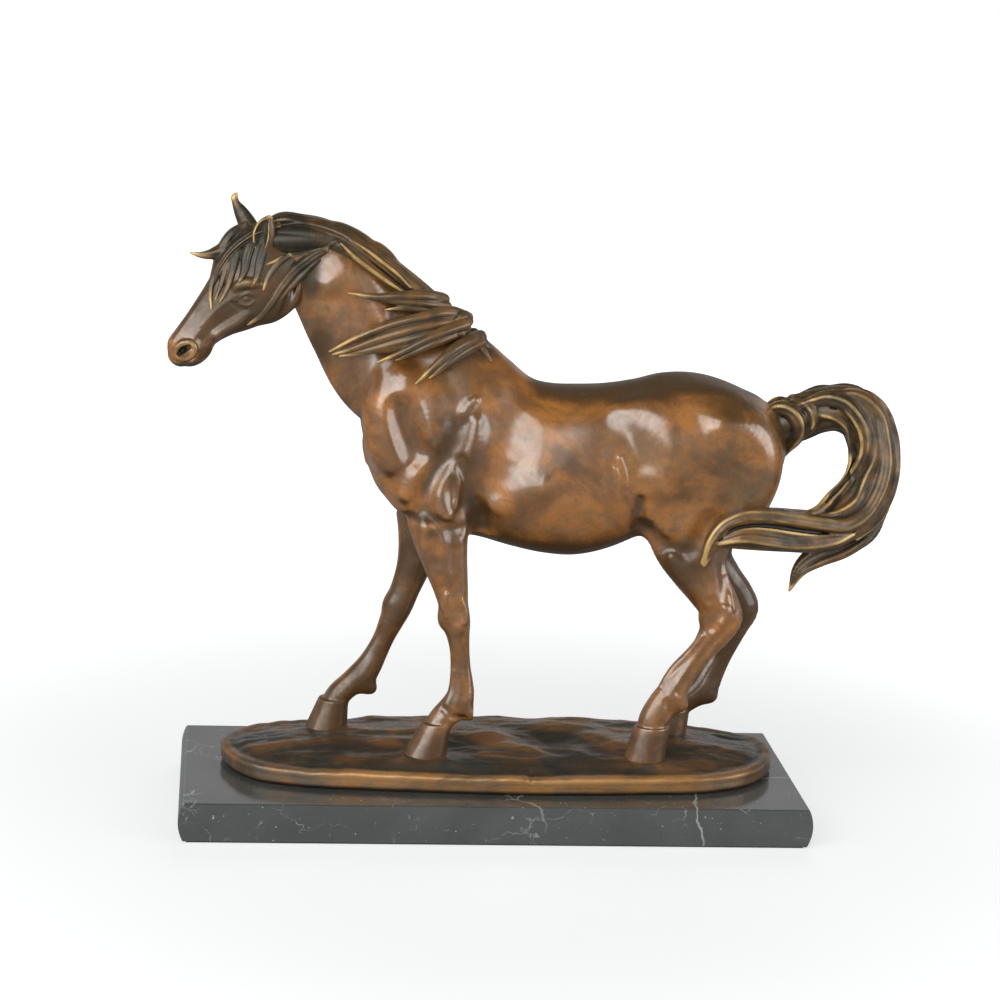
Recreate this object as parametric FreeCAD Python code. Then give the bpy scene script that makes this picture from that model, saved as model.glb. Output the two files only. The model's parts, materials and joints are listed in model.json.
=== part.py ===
# Bronze statue of an Arabian horse walking over a strip of ground, on a polished marble plinth.
# Millimetres, +Z up. The origin is the centre of the plinth's underside. The horse faces -X, and
# its left (near) side is towards -Y. Nothing moves. The bronze is cast in pieces that are welded
# face to face, pinned at the hooves and bolted to the marble from below.
import FreeCAD, Part
import math
import os

Vector = FreeCAD.Vector

# ---- Driving dimensions ----
PLINTH_LENGTH = 384.0
PLINTH_DEPTH = 150.0
PLINTH_TOP = 25.0
PLINTH_BULGE = 3.0
PLINTH_ARRIS = 1.2
FELT_THICKNESS = 1.0
FELT_MARGIN = 2.0

BOLT_X = (-75.0, 75.0)
BOLT_RADIUS = 3.0
BOLT_CLEARANCE_RADIUS = 3.5
BOLT_TIP_Z = 35.0
RECESS_RADIUS = 11.0
RECESS_TOP_Z = 10.0
WASHER_RADIUS = 8.0
WASHER_THICKNESS = 1.5
BOLT_HEAD_HEIGHT = 4.0
BOLT_HEAD_ACROSS_FLATS = 10.0
BOSS_RADIUS = 8.0

GROUND_CENTRE = (6.0, 3.0)
GROUND_HALF_LENGTH = 172.0
GROUND_HALF_DEPTH = 54.0
GROUND_RIM_Z = 36.0
GROUND_DOME = 9.0
GROUND_WALL = 5.0

BRONZE_WALL = 4.0
PIN_RADIUS = 1.6
PIN_REACH = 8.0
PLUG_RADIUS = 4.0
DOWEL_RADIUS = 4.0
SECTION_POINTS = 12

# ---- Chains of oval sections ----
# Each station is x, y, z of the centre, the radius in the plane of the chain, and the lateral radius.
TORSO = [
    (-86, 0, 227, 22, 10),
    (-80, 0, 229, 33, 24),
    (-70, 0, 234, 45, 31),
    (-55, 0, 236, 54, 35),
    (-35, 0, 238, 62, 37),
    (-15, 0, 234, 59, 38),
    (5, 0, 224.5, 54.5, 39),
    (25, 0, 218, 53, 40.5),
    (45, 0, 216.5, 52.5, 41),
    (65, 0, 219, 52.5, 40),
    (85, 0, 225, 51, 38),
    (105, 0, 232, 47.5, 39),
    (125, 0, 234.5, 44, 38),
    (145, 0, 230.5, 40.5, 33),
    (160, 0, 228, 34, 25),
    (169, 0, 226.5, 24, 15),
    (173, 0, 226, 12, 7),
]
NECK = [
    (-30, 0, 262, 40, 30),
    (-64, 0, 281, 42, 24),
    (-88, 0, 308, 34, 19),
    (-108, 0, 330, 29, 16.5),
    (-122, -1, 345, 22, 14.5),
    (-130, -2, 353, 14, 10),
]
HEAD = [
    (-134, -3, 343, 17, 11),
    (-140, -4, 338, 27, 15),
    (-153, -6, 327, 26, 18),
    (-164, -9, 316, 22, 16),
    (-175, -12, 306, 16.5, 12.5),
    (-184, -14, 297, 13, 10.5),
    (-192, -16, 288, 12, 10),
    (-197, -17, 281.5, 10, 9),
    (-200, -17.5, 278, 5, 5),
]
FORELEG_LEFT = [
    (-41, -17, 205, 26, 15),
    (-40, -21, 188, 19, 13.5),
    (-37.5, -23, 171, 15.5, 12.5),
    (-34, -24, 154, 12, 10.5),
    (-31, -24, 141, 9.5, 9),
    (-28, -24, 126, 8.4, 8.6),
    (-25.5, -24, 112, 6, 6.3),
    (-23.5, -24, 100, 5.6, 5.8),
    (-22.5, -24, 87, 7, 6.6),
    (-23.5, -24, 76, 9, 7.8),
    (-31, -24, 67, 8.2, 8),
    (-36, -24, 60, 8.5, 8.6),
]
FORELEG_RIGHT = [
    (-42, 18, 200, 24, 15),
    (-44, 21, 184, 17, 13.5),
    (-46.5, 23, 168, 14, 12.5),
    (-50, 24, 151, 11.5, 10.5),
    (-53, 24, 138, 9.7, 9),
    (-58, 24, 124, 8.8, 8.6),
    (-65, 24, 108, 7, 6.5),
    (-69.5, 24, 99, 6.2, 5.8),
    (-74, 24, 89, 6.8, 6.4),
    (-79, 24, 79, 8.6, 7.6),
    (-89, 24, 69, 8, 8),
    (-96, 24, 60, 8.5, 8.6),
]
HINDLEG_LEFT = [
    (117, -17, 230, 38, 19),
    (114, -20, 206, 32, 19),
    (113, -22, 188, 28, 17.5),
    (115.5, -23, 175, 25, 15.5),
    (119.5, -24, 161, 20, 12.5),
    (126.5, -24.5, 149, 16, 10.2),
    (136, -25, 137, 14.5, 9.2),
    (134, -25, 125, 12.5, 8.4),
    (127.5, -25, 113, 8.6, 7),
    (119.5, -25, 98, 6.9, 6.3),
    (112, -25, 87, 8.2, 7),
    (107, -25, 77, 9.8, 7.8),
    (99, -25, 68, 8.6, 8),
    (96, -25, 60, 9, 8.8),
]
HINDLEG_RIGHT = [
    (117, 17, 230, 38, 19),
    (120, 20, 206, 33, 19),
    (124, 22, 187, 28, 17.5),
    (129, 23, 172, 22, 15),
    (135.5, 24, 157, 15, 11.2),
    (145, 24.5, 143.5, 12.6, 9.6),
    (154, 25, 129, 13.2, 9),
    (151, 25, 116, 11.5, 8.4),
    (146.5, 25, 104, 8, 7),
    (143.5, 25, 91, 6.6, 6.3),
    (140, 25, 78, 7.6, 7),
    (136, 25, 69, 9.6, 7.8),
    (126, 25, 62, 8.2, 8),
    (119, 25, 56, 8.4, 8.8),
]
TAIL = [
    (160, 0, 246, 17, 9),
    (170, 0, 249, 16.5, 10.5),
    (181, 0, 254.5, 16.5, 12.5),
    (193, 0, 260, 15, 14),
    (206, -1, 260.5, 15, 15.5),
    (219, -2, 255, 17, 16.5),
    (228, -4, 243, 17.5, 17),
    (230.5, -7, 228, 17, 17),
    (228, -10, 213, 17.5, 16),
    (220, -15, 200, 17.5, 15),
    (207, -21, 192, 15.5, 13.5),
    (190, -28, 190, 14.2, 12),
    (172, -34, 190.5, 13, 10.5),
    (155, -39, 190.5, 12.3, 9),
    (141, -41, 189, 11.3, 8),
    (130, -41, 184, 9.5, 7),
    (124, -41, 176, 5.5, 5),
    (121, -40, 166, 1.5, 1.5),
]
TAIL_LOWER_LOCK = [
    (238, -11, 194, 6, 8),
    (226, -13, 182, 9, 9),
    (212, -15, 174, 8, 8),
    (199, -16, 168, 6.5, 6.5),
    (190, -16, 160, 4.5, 5),
    (186, -16, 148, 1.2, 1.2),
]
MANE_CREST = [
    (-145, -2, 357, 6, 7),
    (-127, -2, 361, 7, 11),
    (-107, -3, 358, 7.5, 12),
    (-85, -4, 346, 7.5, 12),
    (-65, -4, 332, 7, 11.5),
    (-46, -4, 317, 6.5, 10.5),
    (-32, -4, 307, 6, 9),
    (-23, -3, 299, 4, 6),
]
# The four blown locks of the mane, from the crest down to their tips.
MANE_LOCKS = [
    [(-44, -13, 325, 5, 4.5), (-62, -22, 324, 5, 4), (-81, -23.5, 322, 4, 3.5), (-95, -22, 323, 2.5, 2.5),
     (-104, -20, 324.5, 0.9, 0.9)],
    [(-30, -15, 311, 7, 5), (-50, -25, 308, 7, 5), (-74, -27, 304, 6, 4.5), (-93, -25, 296, 4, 3.5),
     (-109, -20, 289, 1, 1)],
    [(-28, -21, 303, 5, 4.5), (-48, -30, 297.5, 5, 4.5), (-66, -30, 290.5, 3.6, 3.5),
     (-82, -26, 282.5, 0.9, 0.9)],
    [(-18, -12, 302, 5.5, 5), (-30, -25, 296, 5, 4.5), (-42, -32, 288.5, 4, 4), (-50, -35, 282, 3, 3),
     (-58, -35.5, 275, 0.9, 0.9)],
]
WITHERS_LOCK = [
    (-17, -5, 303, 4.5, 5),
    (-10, -9, 296, 4.5, 5),
    (-3, -11, 288, 3.5, 4),
    (4, -11.5, 279, 1, 1),
]
CHEEK_LOCK = [
    (-116, -14, 352, 4, 4),
    (-124, -18, 342, 4, 4),
    (-132, -20.5, 331, 3.6, 3.6),
    (-140, -23, 319, 2.8, 3),
    (-147, -24, 309, 1.2, 1.5),
]
FORELOCK = [
    (-146, -3, 364, 5, 11),
    (-160, -5, 357, 5.5, 13),
    (-172, -8, 346, 5.5, 12),
    (-178, -11, 334, 4.5, 9),
    (-181, -14, 322, 2.5, 4.5),
    (-182, -15, 316, 0.9, 1),
]
FORELOCK_TUFT = [
    (-174, -8, 342.5, 4, 5),
    (-182, -8, 342, 3, 3.5),
    (-188, -8, 341.5, 1.8, 2),
    (-192.5, -8, 341.5, 0.6, 0.6),
]
EAR_LEFT = [
    (-148, -12, 345, 5.5, 4.5),
    (-149, -13.5, 355, 6, 4.6),
    (-147.5, -14.5, 362, 4.4, 3.4),
    (-145, -15, 367.5, 0.9, 0.9),
]
EAR_RIGHT = [
    (-154, 8, 352, 5.5, 4.5),
    (-158, 9, 360, 5.4, 4.6),
    (-163, 10, 368, 3.6, 3),
    (-168, 10.5, 376.5, 0.9, 0.9),
]
# The centres of each hoof's coronet and sole. All four share the half lengths and half widths below.
HOOVES = {
    "foreleg_left": ((-36, -24, 61), (-42.8, -24, 40)),
    "foreleg_right": ((-97, 24, 60), (-101.5, 24, 40)),
    "hindleg_left": ((96.5, -25, 60.5), (92, -25, 40)),
    "hindleg_right": ((119, 25, 57), (114.5, 25, 40)),
}
HOOF_TOP_RADII = (9.4, 9.4)
HOOF_SOLE_RADII = (13.2, 11.8)
LEGS = {
    "foreleg_left": FORELEG_LEFT,
    "foreleg_right": FORELEG_RIGHT,
    "hindleg_left": HINDLEG_LEFT,
    "hindleg_right": HINDLEG_RIGHT,
}

# The ground's outline, as seen from above, and the hummocks on it: x, y, height, spread.
GROUND_OUTLINE = [
    (-166, 10), (-161, -12), (-147, -33), (-120, -44), (-80, -49), (-30, -53), (30, -55), (90, -52),
    (130, -48), (156, -36), (173, -15), (179, 10), (172, 35), (147, 52), (100, 57), (30, 58),
    (-40, 57), (-105, 55), (-145, 45), (-160, 30),
]
HUMMOCKS = [
    (0, -24, 2.6, 16), (45, 1, 2.4, 14), (76, 6, 2.6, 12), (20, -8, -2.4, 16), (60, -34, -2.2, 18),
    (-100, 24, 1.6, 22), (-43, -24, 0.8, 20), (116, 24, 1.4, 20), (-14, -22, -1.6, 10),
]


def section(centre, tangent, radius, lateral):
    """A closed smooth oval across the tangent; its lateral axis stays as near +Y as it can."""
    side = Vector(0, 1, 0) - tangent * tangent.y
    side.normalize()
    rise = tangent.cross(side)
    points = []
    for i in range(SECTION_POINTS):
        angle = 2 * math.pi * i / SECTION_POINTS
        points.append(centre + rise * (radius * math.cos(angle)) + side * (lateral * math.sin(angle)))
    curve = Part.BSplineCurve()
    curve.interpolate(points, PeriodicFlag=True)
    return Part.Wire([curve.toShape()])


def chain(stations, inset=0.0):
    """A smooth solid through oval sections, each across the line between its neighbours."""
    centres = [Vector(*station[:3]) for station in stations]
    wires = []
    last = len(centres) - 1
    for i, station in enumerate(stations):
        tangent = centres[min(i + 1, last)] - centres[max(i - 1, 0)]
        tangent.normalize()
        wires.append(section(centres[i], tangent, station[3] - inset, station[4] - inset))
    return Part.makeLoft(wires, True)


def hollow_core(stations, wall):
    """The inside of a casting: the same chain, thinner by the wall, without its thin end stations."""
    kept = [station for station in stations if min(station[3:]) > 2.5 * wall]
    return chain(kept, wall)


def ground_height(x, y):
    """Height of the bronze ground: a low dome with hummocks and hollows."""
    along = (x - GROUND_CENTRE[0]) / GROUND_HALF_LENGTH
    across = (y - GROUND_CENTRE[1]) / GROUND_HALF_DEPTH
    height = GROUND_RIM_Z + GROUND_DOME * max(0.0, 1 - along ** 2 - across ** 2) ** 0.6
    for hummock_x, hummock_y, rise, spread in HUMMOCKS:
        away = (x - hummock_x) ** 2 + (y - hummock_y) ** 2
        height += rise * math.exp(-away / spread ** 2)
    return height


def below_ground(lowered=0.0):
    """Everything under the ground's surface, with the surface lowered by the amount given."""
    columns = 39
    rows = 15
    grid = []
    for i in range(columns):
        x = -190 + 390 * i / (columns - 1)
        row = []
        for j in range(rows):
            y = -70 + 144 * j / (rows - 1)
            row.append(Vector(x, y, ground_height(x, y) - lowered))
        grid.append(row)
    surface = Part.BSplineSurface()
    surface.interpolate(grid)
    return surface.toShape().extrude(Vector(0, 0, -60))


def outline_wire(grow, z):
    """The ground's outline, moved outwards, at one height."""
    points = []
    for x, y in GROUND_OUTLINE:
        out = Vector(x - GROUND_CENTRE[0], y - GROUND_CENTRE[1], 0)
        out.multiply(1 + grow / out.Length)
        points.append(Vector(out.x + GROUND_CENTRE[0], out.y + GROUND_CENTRE[1], z))
    curve = Part.BSplineCurve()
    curve.interpolate(points, PeriodicFlag=True)
    return Part.Wire([curve.toShape()])


def cylinder(radius, x, y, low, high):
    return Part.makeCylinder(radius, high - low, Vector(x, y, low))


def one_solid(shape):
    """The largest solid of a cut shape, so that no loose sliver is kept."""
    return max(shape.Solids, key=lambda solid: solid.Volume)


def make_plinth():
    """Marble slab with slightly bulged ends and counterbored bolt holes."""
    half = PLINTH_LENGTH / 2
    deep = PLINTH_DEPTH / 2
    middle = (FELT_THICKNESS + PLINTH_TOP) / 2
    corner = half - PLINTH_BULGE
    left = Part.Arc(Vector(-corner, -deep, PLINTH_TOP), Vector(-half, -deep, middle),
                    Vector(-corner, -deep, FELT_THICKNESS)).toShape()
    bottom = Part.makeLine(Vector(-corner, -deep, FELT_THICKNESS), Vector(corner, -deep, FELT_THICKNESS))
    right = Part.Arc(Vector(corner, -deep, FELT_THICKNESS), Vector(half, -deep, middle),
                     Vector(corner, -deep, PLINTH_TOP)).toShape()
    top = Part.makeLine(Vector(corner, -deep, PLINTH_TOP), Vector(-corner, -deep, PLINTH_TOP))
    slab = Part.Face(Part.Wire([left, bottom, right, top])).extrude(Vector(0, PLINTH_DEPTH, 0))
    slab = slab.makeChamfer(PLINTH_ARRIS / 2, slab.Edges)
    for x in BOLT_X:
        slab = slab.cut(cylinder(RECESS_RADIUS, x, 0, FELT_THICKNESS, RECESS_TOP_Z))
        slab = slab.cut(cylinder(BOLT_CLEARANCE_RADIUS, x, 0, RECESS_TOP_Z, PLINTH_TOP))
    return slab


def make_felt():
    length = PLINTH_LENGTH - 2 * (PLINTH_BULGE + FELT_MARGIN)
    depth = PLINTH_DEPTH - 2 * FELT_MARGIN
    return Part.makeBox(length, depth, FELT_THICKNESS, Vector(-length / 2, -depth / 2, 0))


def make_bolts():
    """Hexagon bolts, head down in the recess and shank up into the ground's boss."""
    bolts = []
    seat = RECESS_TOP_Z - WASHER_THICKNESS
    under = seat - BOLT_HEAD_HEIGHT
    reach = BOLT_HEAD_ACROSS_FLATS / math.sqrt(3)
    for x in BOLT_X:
        corners = []
        for i in range(7):
            angle = math.pi * i / 3
            corners.append(Vector(x + reach * math.cos(angle), reach * math.sin(angle), under))
        head = Part.Face(Part.makePolygon(corners)).extrude(Vector(0, 0, BOLT_HEAD_HEIGHT))
        shank = cylinder(BOLT_RADIUS, x, 0, under + BOLT_HEAD_HEIGHT / 2, BOLT_TIP_Z)
        bolts.append(head.fuse(shank))
    return Part.makeCompound(bolts)


def make_washers():
    washers = []
    for x in BOLT_X:
        low = RECESS_TOP_Z - WASHER_THICKNESS
        disc = cylinder(WASHER_RADIUS, x, 0, low, RECESS_TOP_Z)
        washers.append(disc.cut(cylinder(BOLT_RADIUS, x, 0, low, RECESS_TOP_Z)))
    return Part.makeCompound(washers)


def make_ground():
    """The cast ground: a rolled rim, a modelled top, hollow below, with a tapped boss over each bolt."""
    body = Part.makeLoft([outline_wire(0, PLINTH_TOP), outline_wire(1.2, PLINTH_TOP + 6),
                          outline_wire(-1.5, PLINTH_TOP + 12), outline_wire(-9, PLINTH_TOP + 30)], True)
    body = body.common(below_ground())
    core = Part.makeLoft([outline_wire(-GROUND_WALL, PLINTH_TOP), outline_wire(-GROUND_WALL, PLINTH_TOP + 6),
                          outline_wire(-GROUND_WALL - 12, PLINTH_TOP + 30)], True)
    core = core.common(below_ground(GROUND_WALL))
    for x in BOLT_X:
        core = core.cut(cylinder(BOSS_RADIUS, x, 0, PLINTH_TOP, PLINTH_TOP + 30))
    body = body.cut(core)
    for x in BOLT_X:
        body = body.cut(cylinder(BOLT_RADIUS, x, 0, PLINTH_TOP, BOLT_TIP_Z))
    return one_solid(body)


def make_leg(name):
    """A leg with its hoof, down to well under the ground's surface."""
    coronet, sole = HOOVES[name]
    axis = Vector(0, 0, 1)
    hoof = Part.makeLoft([section(Vector(*coronet), axis, *HOOF_TOP_RADII),
                          section(Vector(*sole), axis, *HOOF_SOLE_RADII)], True)
    return chain(LEGS[name]).fuse(hoof)


def hoof_pin(name):
    """Pin through the sole, half in the hoof and half in the ground."""
    x, y = HOOVES[name][1][:2]
    middle = ground_height(x, y)
    return cylinder(PIN_RADIUS, x, y, middle - PIN_REACH / 2 + 1, middle + PIN_REACH)


def rump_dowel():
    """Dowel from inside the torso wall into the root of the tail."""
    start = Vector(*TAIL[1][:3])
    way = Vector(*TAIL[3][:3]) - start
    way.normalize()
    return Part.makeCylinder(DOWEL_RADIUS, 26, start - way * 8, way)


def core_plugs():
    """Four plugs across the torso's wall, two in each flank."""
    plugs = []
    for x, z in ((-5, 205), (70, 225)):
        for side in (-1, 1):
            plugs.append(Part.makeCylinder(PLUG_RADIUS, 30, Vector(x, side * 25, z), Vector(0, side, 0)))
    return plugs


def build():
    parts = {}
    torso_skin = chain(TORSO)
    torso_core = hollow_core(TORSO, BRONZE_WALL)
    neck_skin = chain(NECK)
    neck_core = hollow_core(NECK, BRONZE_WALL)
    head = chain(HEAD)
    surface = below_ground()
    dowel = rump_dowel()

    ground = make_ground()
    pins = []
    for name in LEGS:
        leg = make_leg(name).cut(torso_skin).cut(surface)
        pin = hoof_pin(name)
        pins.append(pin)
        parts[name] = one_solid(leg.cut(pin))
        ground = ground.cut(pin)
    parts["hoof_pins"] = Part.makeCompound(pins)

    torso = torso_skin.cut(torso_core).cut(dowel)
    plugs = []
    for rod in core_plugs():
        plugs.append(one_solid(rod.common(torso)))
        torso = torso.cut(rod)
    parts["torso_casting"] = one_solid(torso)
    parts["core_plugs"] = Part.makeCompound(plugs)

    neck = neck_skin.cut(torso_skin).cut(neck_core)
    parts["neck_casting"] = one_solid(neck)
    neck_mass = torso_skin.fuse(neck_skin)
    parts["head_casting"] = one_solid(head.cut(neck_skin))
    beast = neck_mass.fuse(head)

    tail = chain(TAIL).cut(torso_skin).cut(dowel)
    for name in ("hindleg_left", "hindleg_right"):
        tail = tail.cut(parts[name])
    tail = one_solid(tail)
    parts["tail_casting"] = tail
    parts["tail_lower_lock"] = one_solid(chain(TAIL_LOWER_LOCK).cut(tail))
    parts["tail_dowel"] = dowel

    crest = one_solid(chain(MANE_CREST).cut(beast))
    parts["mane_crest"] = crest
    taken = beast.fuse(crest)
    locks = [("mane_lock_%d" % (i + 1), lock) for i, lock in enumerate(MANE_LOCKS)]
    locks += [("withers_lock", WITHERS_LOCK), ("cheek_lock", CHEEK_LOCK)]
    locks += [("ear_left", EAR_LEFT), ("ear_right", EAR_RIGHT)]
    for name, stations in locks:
        lock = one_solid(chain(stations).cut(taken))
        parts[name] = lock
        taken = taken.fuse(lock)
    forelock = chain(FORELOCK).fuse(chain(FORELOCK_TUFT))
    parts["forelock"] = one_solid(forelock.cut(taken))

    parts["marble_plinth"] = make_plinth()
    parts["felt_sheet"] = make_felt()
    parts["base_bolts"] = make_bolts()
    parts["base_washers"] = make_washers()
    parts["ground_casting"] = one_solid(ground)
    return parts


def main():
    os.makedirs("parts", exist_ok=True)
    for name, shape in sorted(build().items()):
        box = shape.BoundBox
        print("%-18s solids %d  valid %s  volume %9.0f  x %.1f..%.1f  y %.1f..%.1f  z %.1f..%.1f" % (
            name, len(shape.Solids), shape.isValid(), shape.Volume,
            box.XMin, box.XMax, box.YMin, box.YMax, box.ZMin, box.ZMax))
        shape.exportStep(os.path.join("parts", name + ".step"))


main()
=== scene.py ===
"""Bronze horse on a marble plinth: the visual model.

The horse is sculpted as clay: a block of voxels holds the distance to the surface, and muscles, creases
and locks of hair are smoothed into it or carved out of it. Each casting is then meshed on its own, with
its shading normals taken from the clay. Lengths in the clay are millimetres, in the frame's own axes.
"""
import json
import math
import bmesh
import bpy
import numpy as np
import openvdb
from mathutils import Euler, Matrix, Vector, noise


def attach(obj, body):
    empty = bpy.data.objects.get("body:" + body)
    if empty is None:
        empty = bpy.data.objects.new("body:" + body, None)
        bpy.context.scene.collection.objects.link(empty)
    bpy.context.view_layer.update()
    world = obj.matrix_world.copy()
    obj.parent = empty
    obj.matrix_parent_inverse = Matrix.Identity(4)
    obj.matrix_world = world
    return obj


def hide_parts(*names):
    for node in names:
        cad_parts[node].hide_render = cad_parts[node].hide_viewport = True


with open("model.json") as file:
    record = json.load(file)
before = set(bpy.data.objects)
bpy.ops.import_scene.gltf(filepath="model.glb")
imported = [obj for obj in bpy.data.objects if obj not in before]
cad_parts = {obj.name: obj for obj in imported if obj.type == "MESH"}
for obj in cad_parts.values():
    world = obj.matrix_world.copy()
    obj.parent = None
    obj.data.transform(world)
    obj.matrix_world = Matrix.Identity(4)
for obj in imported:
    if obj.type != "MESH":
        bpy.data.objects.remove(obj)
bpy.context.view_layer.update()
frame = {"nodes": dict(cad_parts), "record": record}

MM = 0.001
FAR = 1000.0        # the distance held by a voxel that no form reaches
NEAR = 10.0         # distances past this play no part in the meshing
TRUNK_ROOM = 20     # how far round the trunk its distance is worked out
SMALL, TINY = 1e-6, 1e-9        # these keep divisors off zero
CUT_FACE = 1        # the material index that marks the faces closing a cut, until they have their normals
DETAIL = 1.0


# ---------------------------------------------------------------- clay
def soft_union(a, b, blend):
    """The nearer of two surfaces, with a fillet of about the blend where they meet."""
    if blend <= 0:
        return np.minimum(a, b)
    near = np.maximum(blend - np.abs(a - b), 0) / blend
    return np.minimum(a, b) - near * near * (blend * 0.25)


class Clay:
    """A block of voxels that holds the distance to the sculpted surface, negative inside."""

    def __init__(self, low, high, voxel, forms=()):
        self.low = np.array(low, float)
        self.voxel = voxel
        self.count = np.ceil((np.array(high) - self.low) / voxel).astype(int) + 1
        self.field = np.full(self.count, FAR, np.float32)
        self.work(forms)

    def window(self, low, high):
        """The slices of the voxels between two corners, and their open coordinate grids, if there are any."""
        first = np.floor((low - self.low) / self.voxel).astype(int).clip(0, self.count)
        last = (np.ceil((high - self.low) / self.voxel) + 1).astype(int).clip(0, self.count)
        if (first >= last).any():
            return None, None
        lines = [self.low[n] + self.voxel * np.arange(first[n], last[n]) for n in range(3)]
        return tuple(map(slice, first, last)), np.ix_(*[line.astype(np.float32) for line in lines])

    def work(self, forms):
        """Adds and carves a list of forms in order: each an action, a lump and its blend with the rest."""
        for action, lump, blend in forms:
            sign = 1 if action == "add" else -1
            slices, distance = lump.reach(self, blend + 3 * self.voxel)
            if slices is not None:
                self.field[slices] = sign * soft_union(sign * self.field[slices], distance, blend)

    def skin_y(self, x, z, side):
        """How far out the surface lies at x, z, on the side of -Y or +Y."""
        i, k = [int(round((v - self.low[a]) / self.voxel)) for v, a in ((x, 0), (z, 2))]
        column = self.field[i, :, k]
        inside = np.nonzero(column < 0)[0]
        if len(inside) == 0:
            return self.low[1] + self.voxel * int(np.argmin(column))
        j = inside[-1] if side > 0 else inside[0]
        part = column[j] / (column[j] - column[j + side])
        return self.low[1] + self.voxel * (j + side * part)

    def sample(self, values, points):
        """A voxel array read at points between the voxels."""
        at = np.clip((points - self.low) / self.voxel, 0, self.count - 1.001)
        base = at.astype(int)
        part = at - base
        total = 0.0
        for step in np.ndindex(2, 2, 2):
            weight = np.prod(np.where(step, part, 1 - part), axis=1)
            total = total + weight * values[tuple((base + step).T)]
        return total


def smooth_line(at, knots, values):
    """A smooth curve through the knots, read at the places given."""
    knots = np.array(knots, float)
    values = np.array(values, float)
    slopes = np.gradient(values, knots)
    i = np.clip(np.searchsorted(knots, at) - 1, 0, len(knots) - 2)
    width = knots[i + 1] - knots[i]
    t = np.clip((at - knots[i]) / width, 0, 1)
    return ((2 * t ** 3 - 3 * t ** 2 + 1) * values[i] + (t ** 3 - 2 * t ** 2 + t) * width * slopes[i]
            + (3 * t ** 2 - 2 * t ** 3) * values[i + 1] + (t ** 3 - t ** 2) * width * slopes[i + 1])


def distances(points):
    """How far along a line each of its points is."""
    return np.concatenate([[0], np.cumsum(np.linalg.norm(np.diff(points, axis=0), axis=1))])


def resample(points, columns, spacing, least, extra=0):
    """Even points along a smooth curve through the given ones, and how far along each is, from 0 to 1.
    Distances are taken over the first few columns, and the other columns are carried along."""
    points = np.array(points, float)
    along = distances(points[:, :columns])
    at = np.linspace(0, along[-1], max(least, int(along[-1] / spacing)) + extra)
    return np.stack([smooth_line(at, along, column) for column in points.T], axis=1), at / along[-1]


class Egg:
    """An ellipsoid, turned about Y by tilt degrees."""

    def __init__(self, centre, radii, tilt=0):
        self.centre = np.array(centre, float)
        self.radii = np.array(radii, float)
        self.turn = np.array(Euler((0, math.radians(tilt), 0)).to_matrix())

    def reach(self, clay, margin):
        """The slices of the clay that the lump can change, and its distance there. Every lump has this."""
        half = np.sqrt((self.turn ** 2) @ (self.radii ** 2)) + margin
        slices, grids = clay.window(self.centre - half, self.centre + half)
        if slices is None:
            return None, None
        dx, dy, dz = [grid - middle for grid, middle in zip(grids, self.centre)]
        one = 0.0
        two = 0.0
        for axis in range(3):
            along = self.turn[0, axis] * dx + self.turn[1, axis] * dy + self.turn[2, axis] * dz
            one = one + (along / self.radii[axis]) ** 2
            two = two + (along / self.radii[axis] ** 2) ** 2
        one = np.sqrt(one)
        return slices, (one * (one - 1) / np.sqrt(two + TINY)).astype(np.float32)


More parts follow.
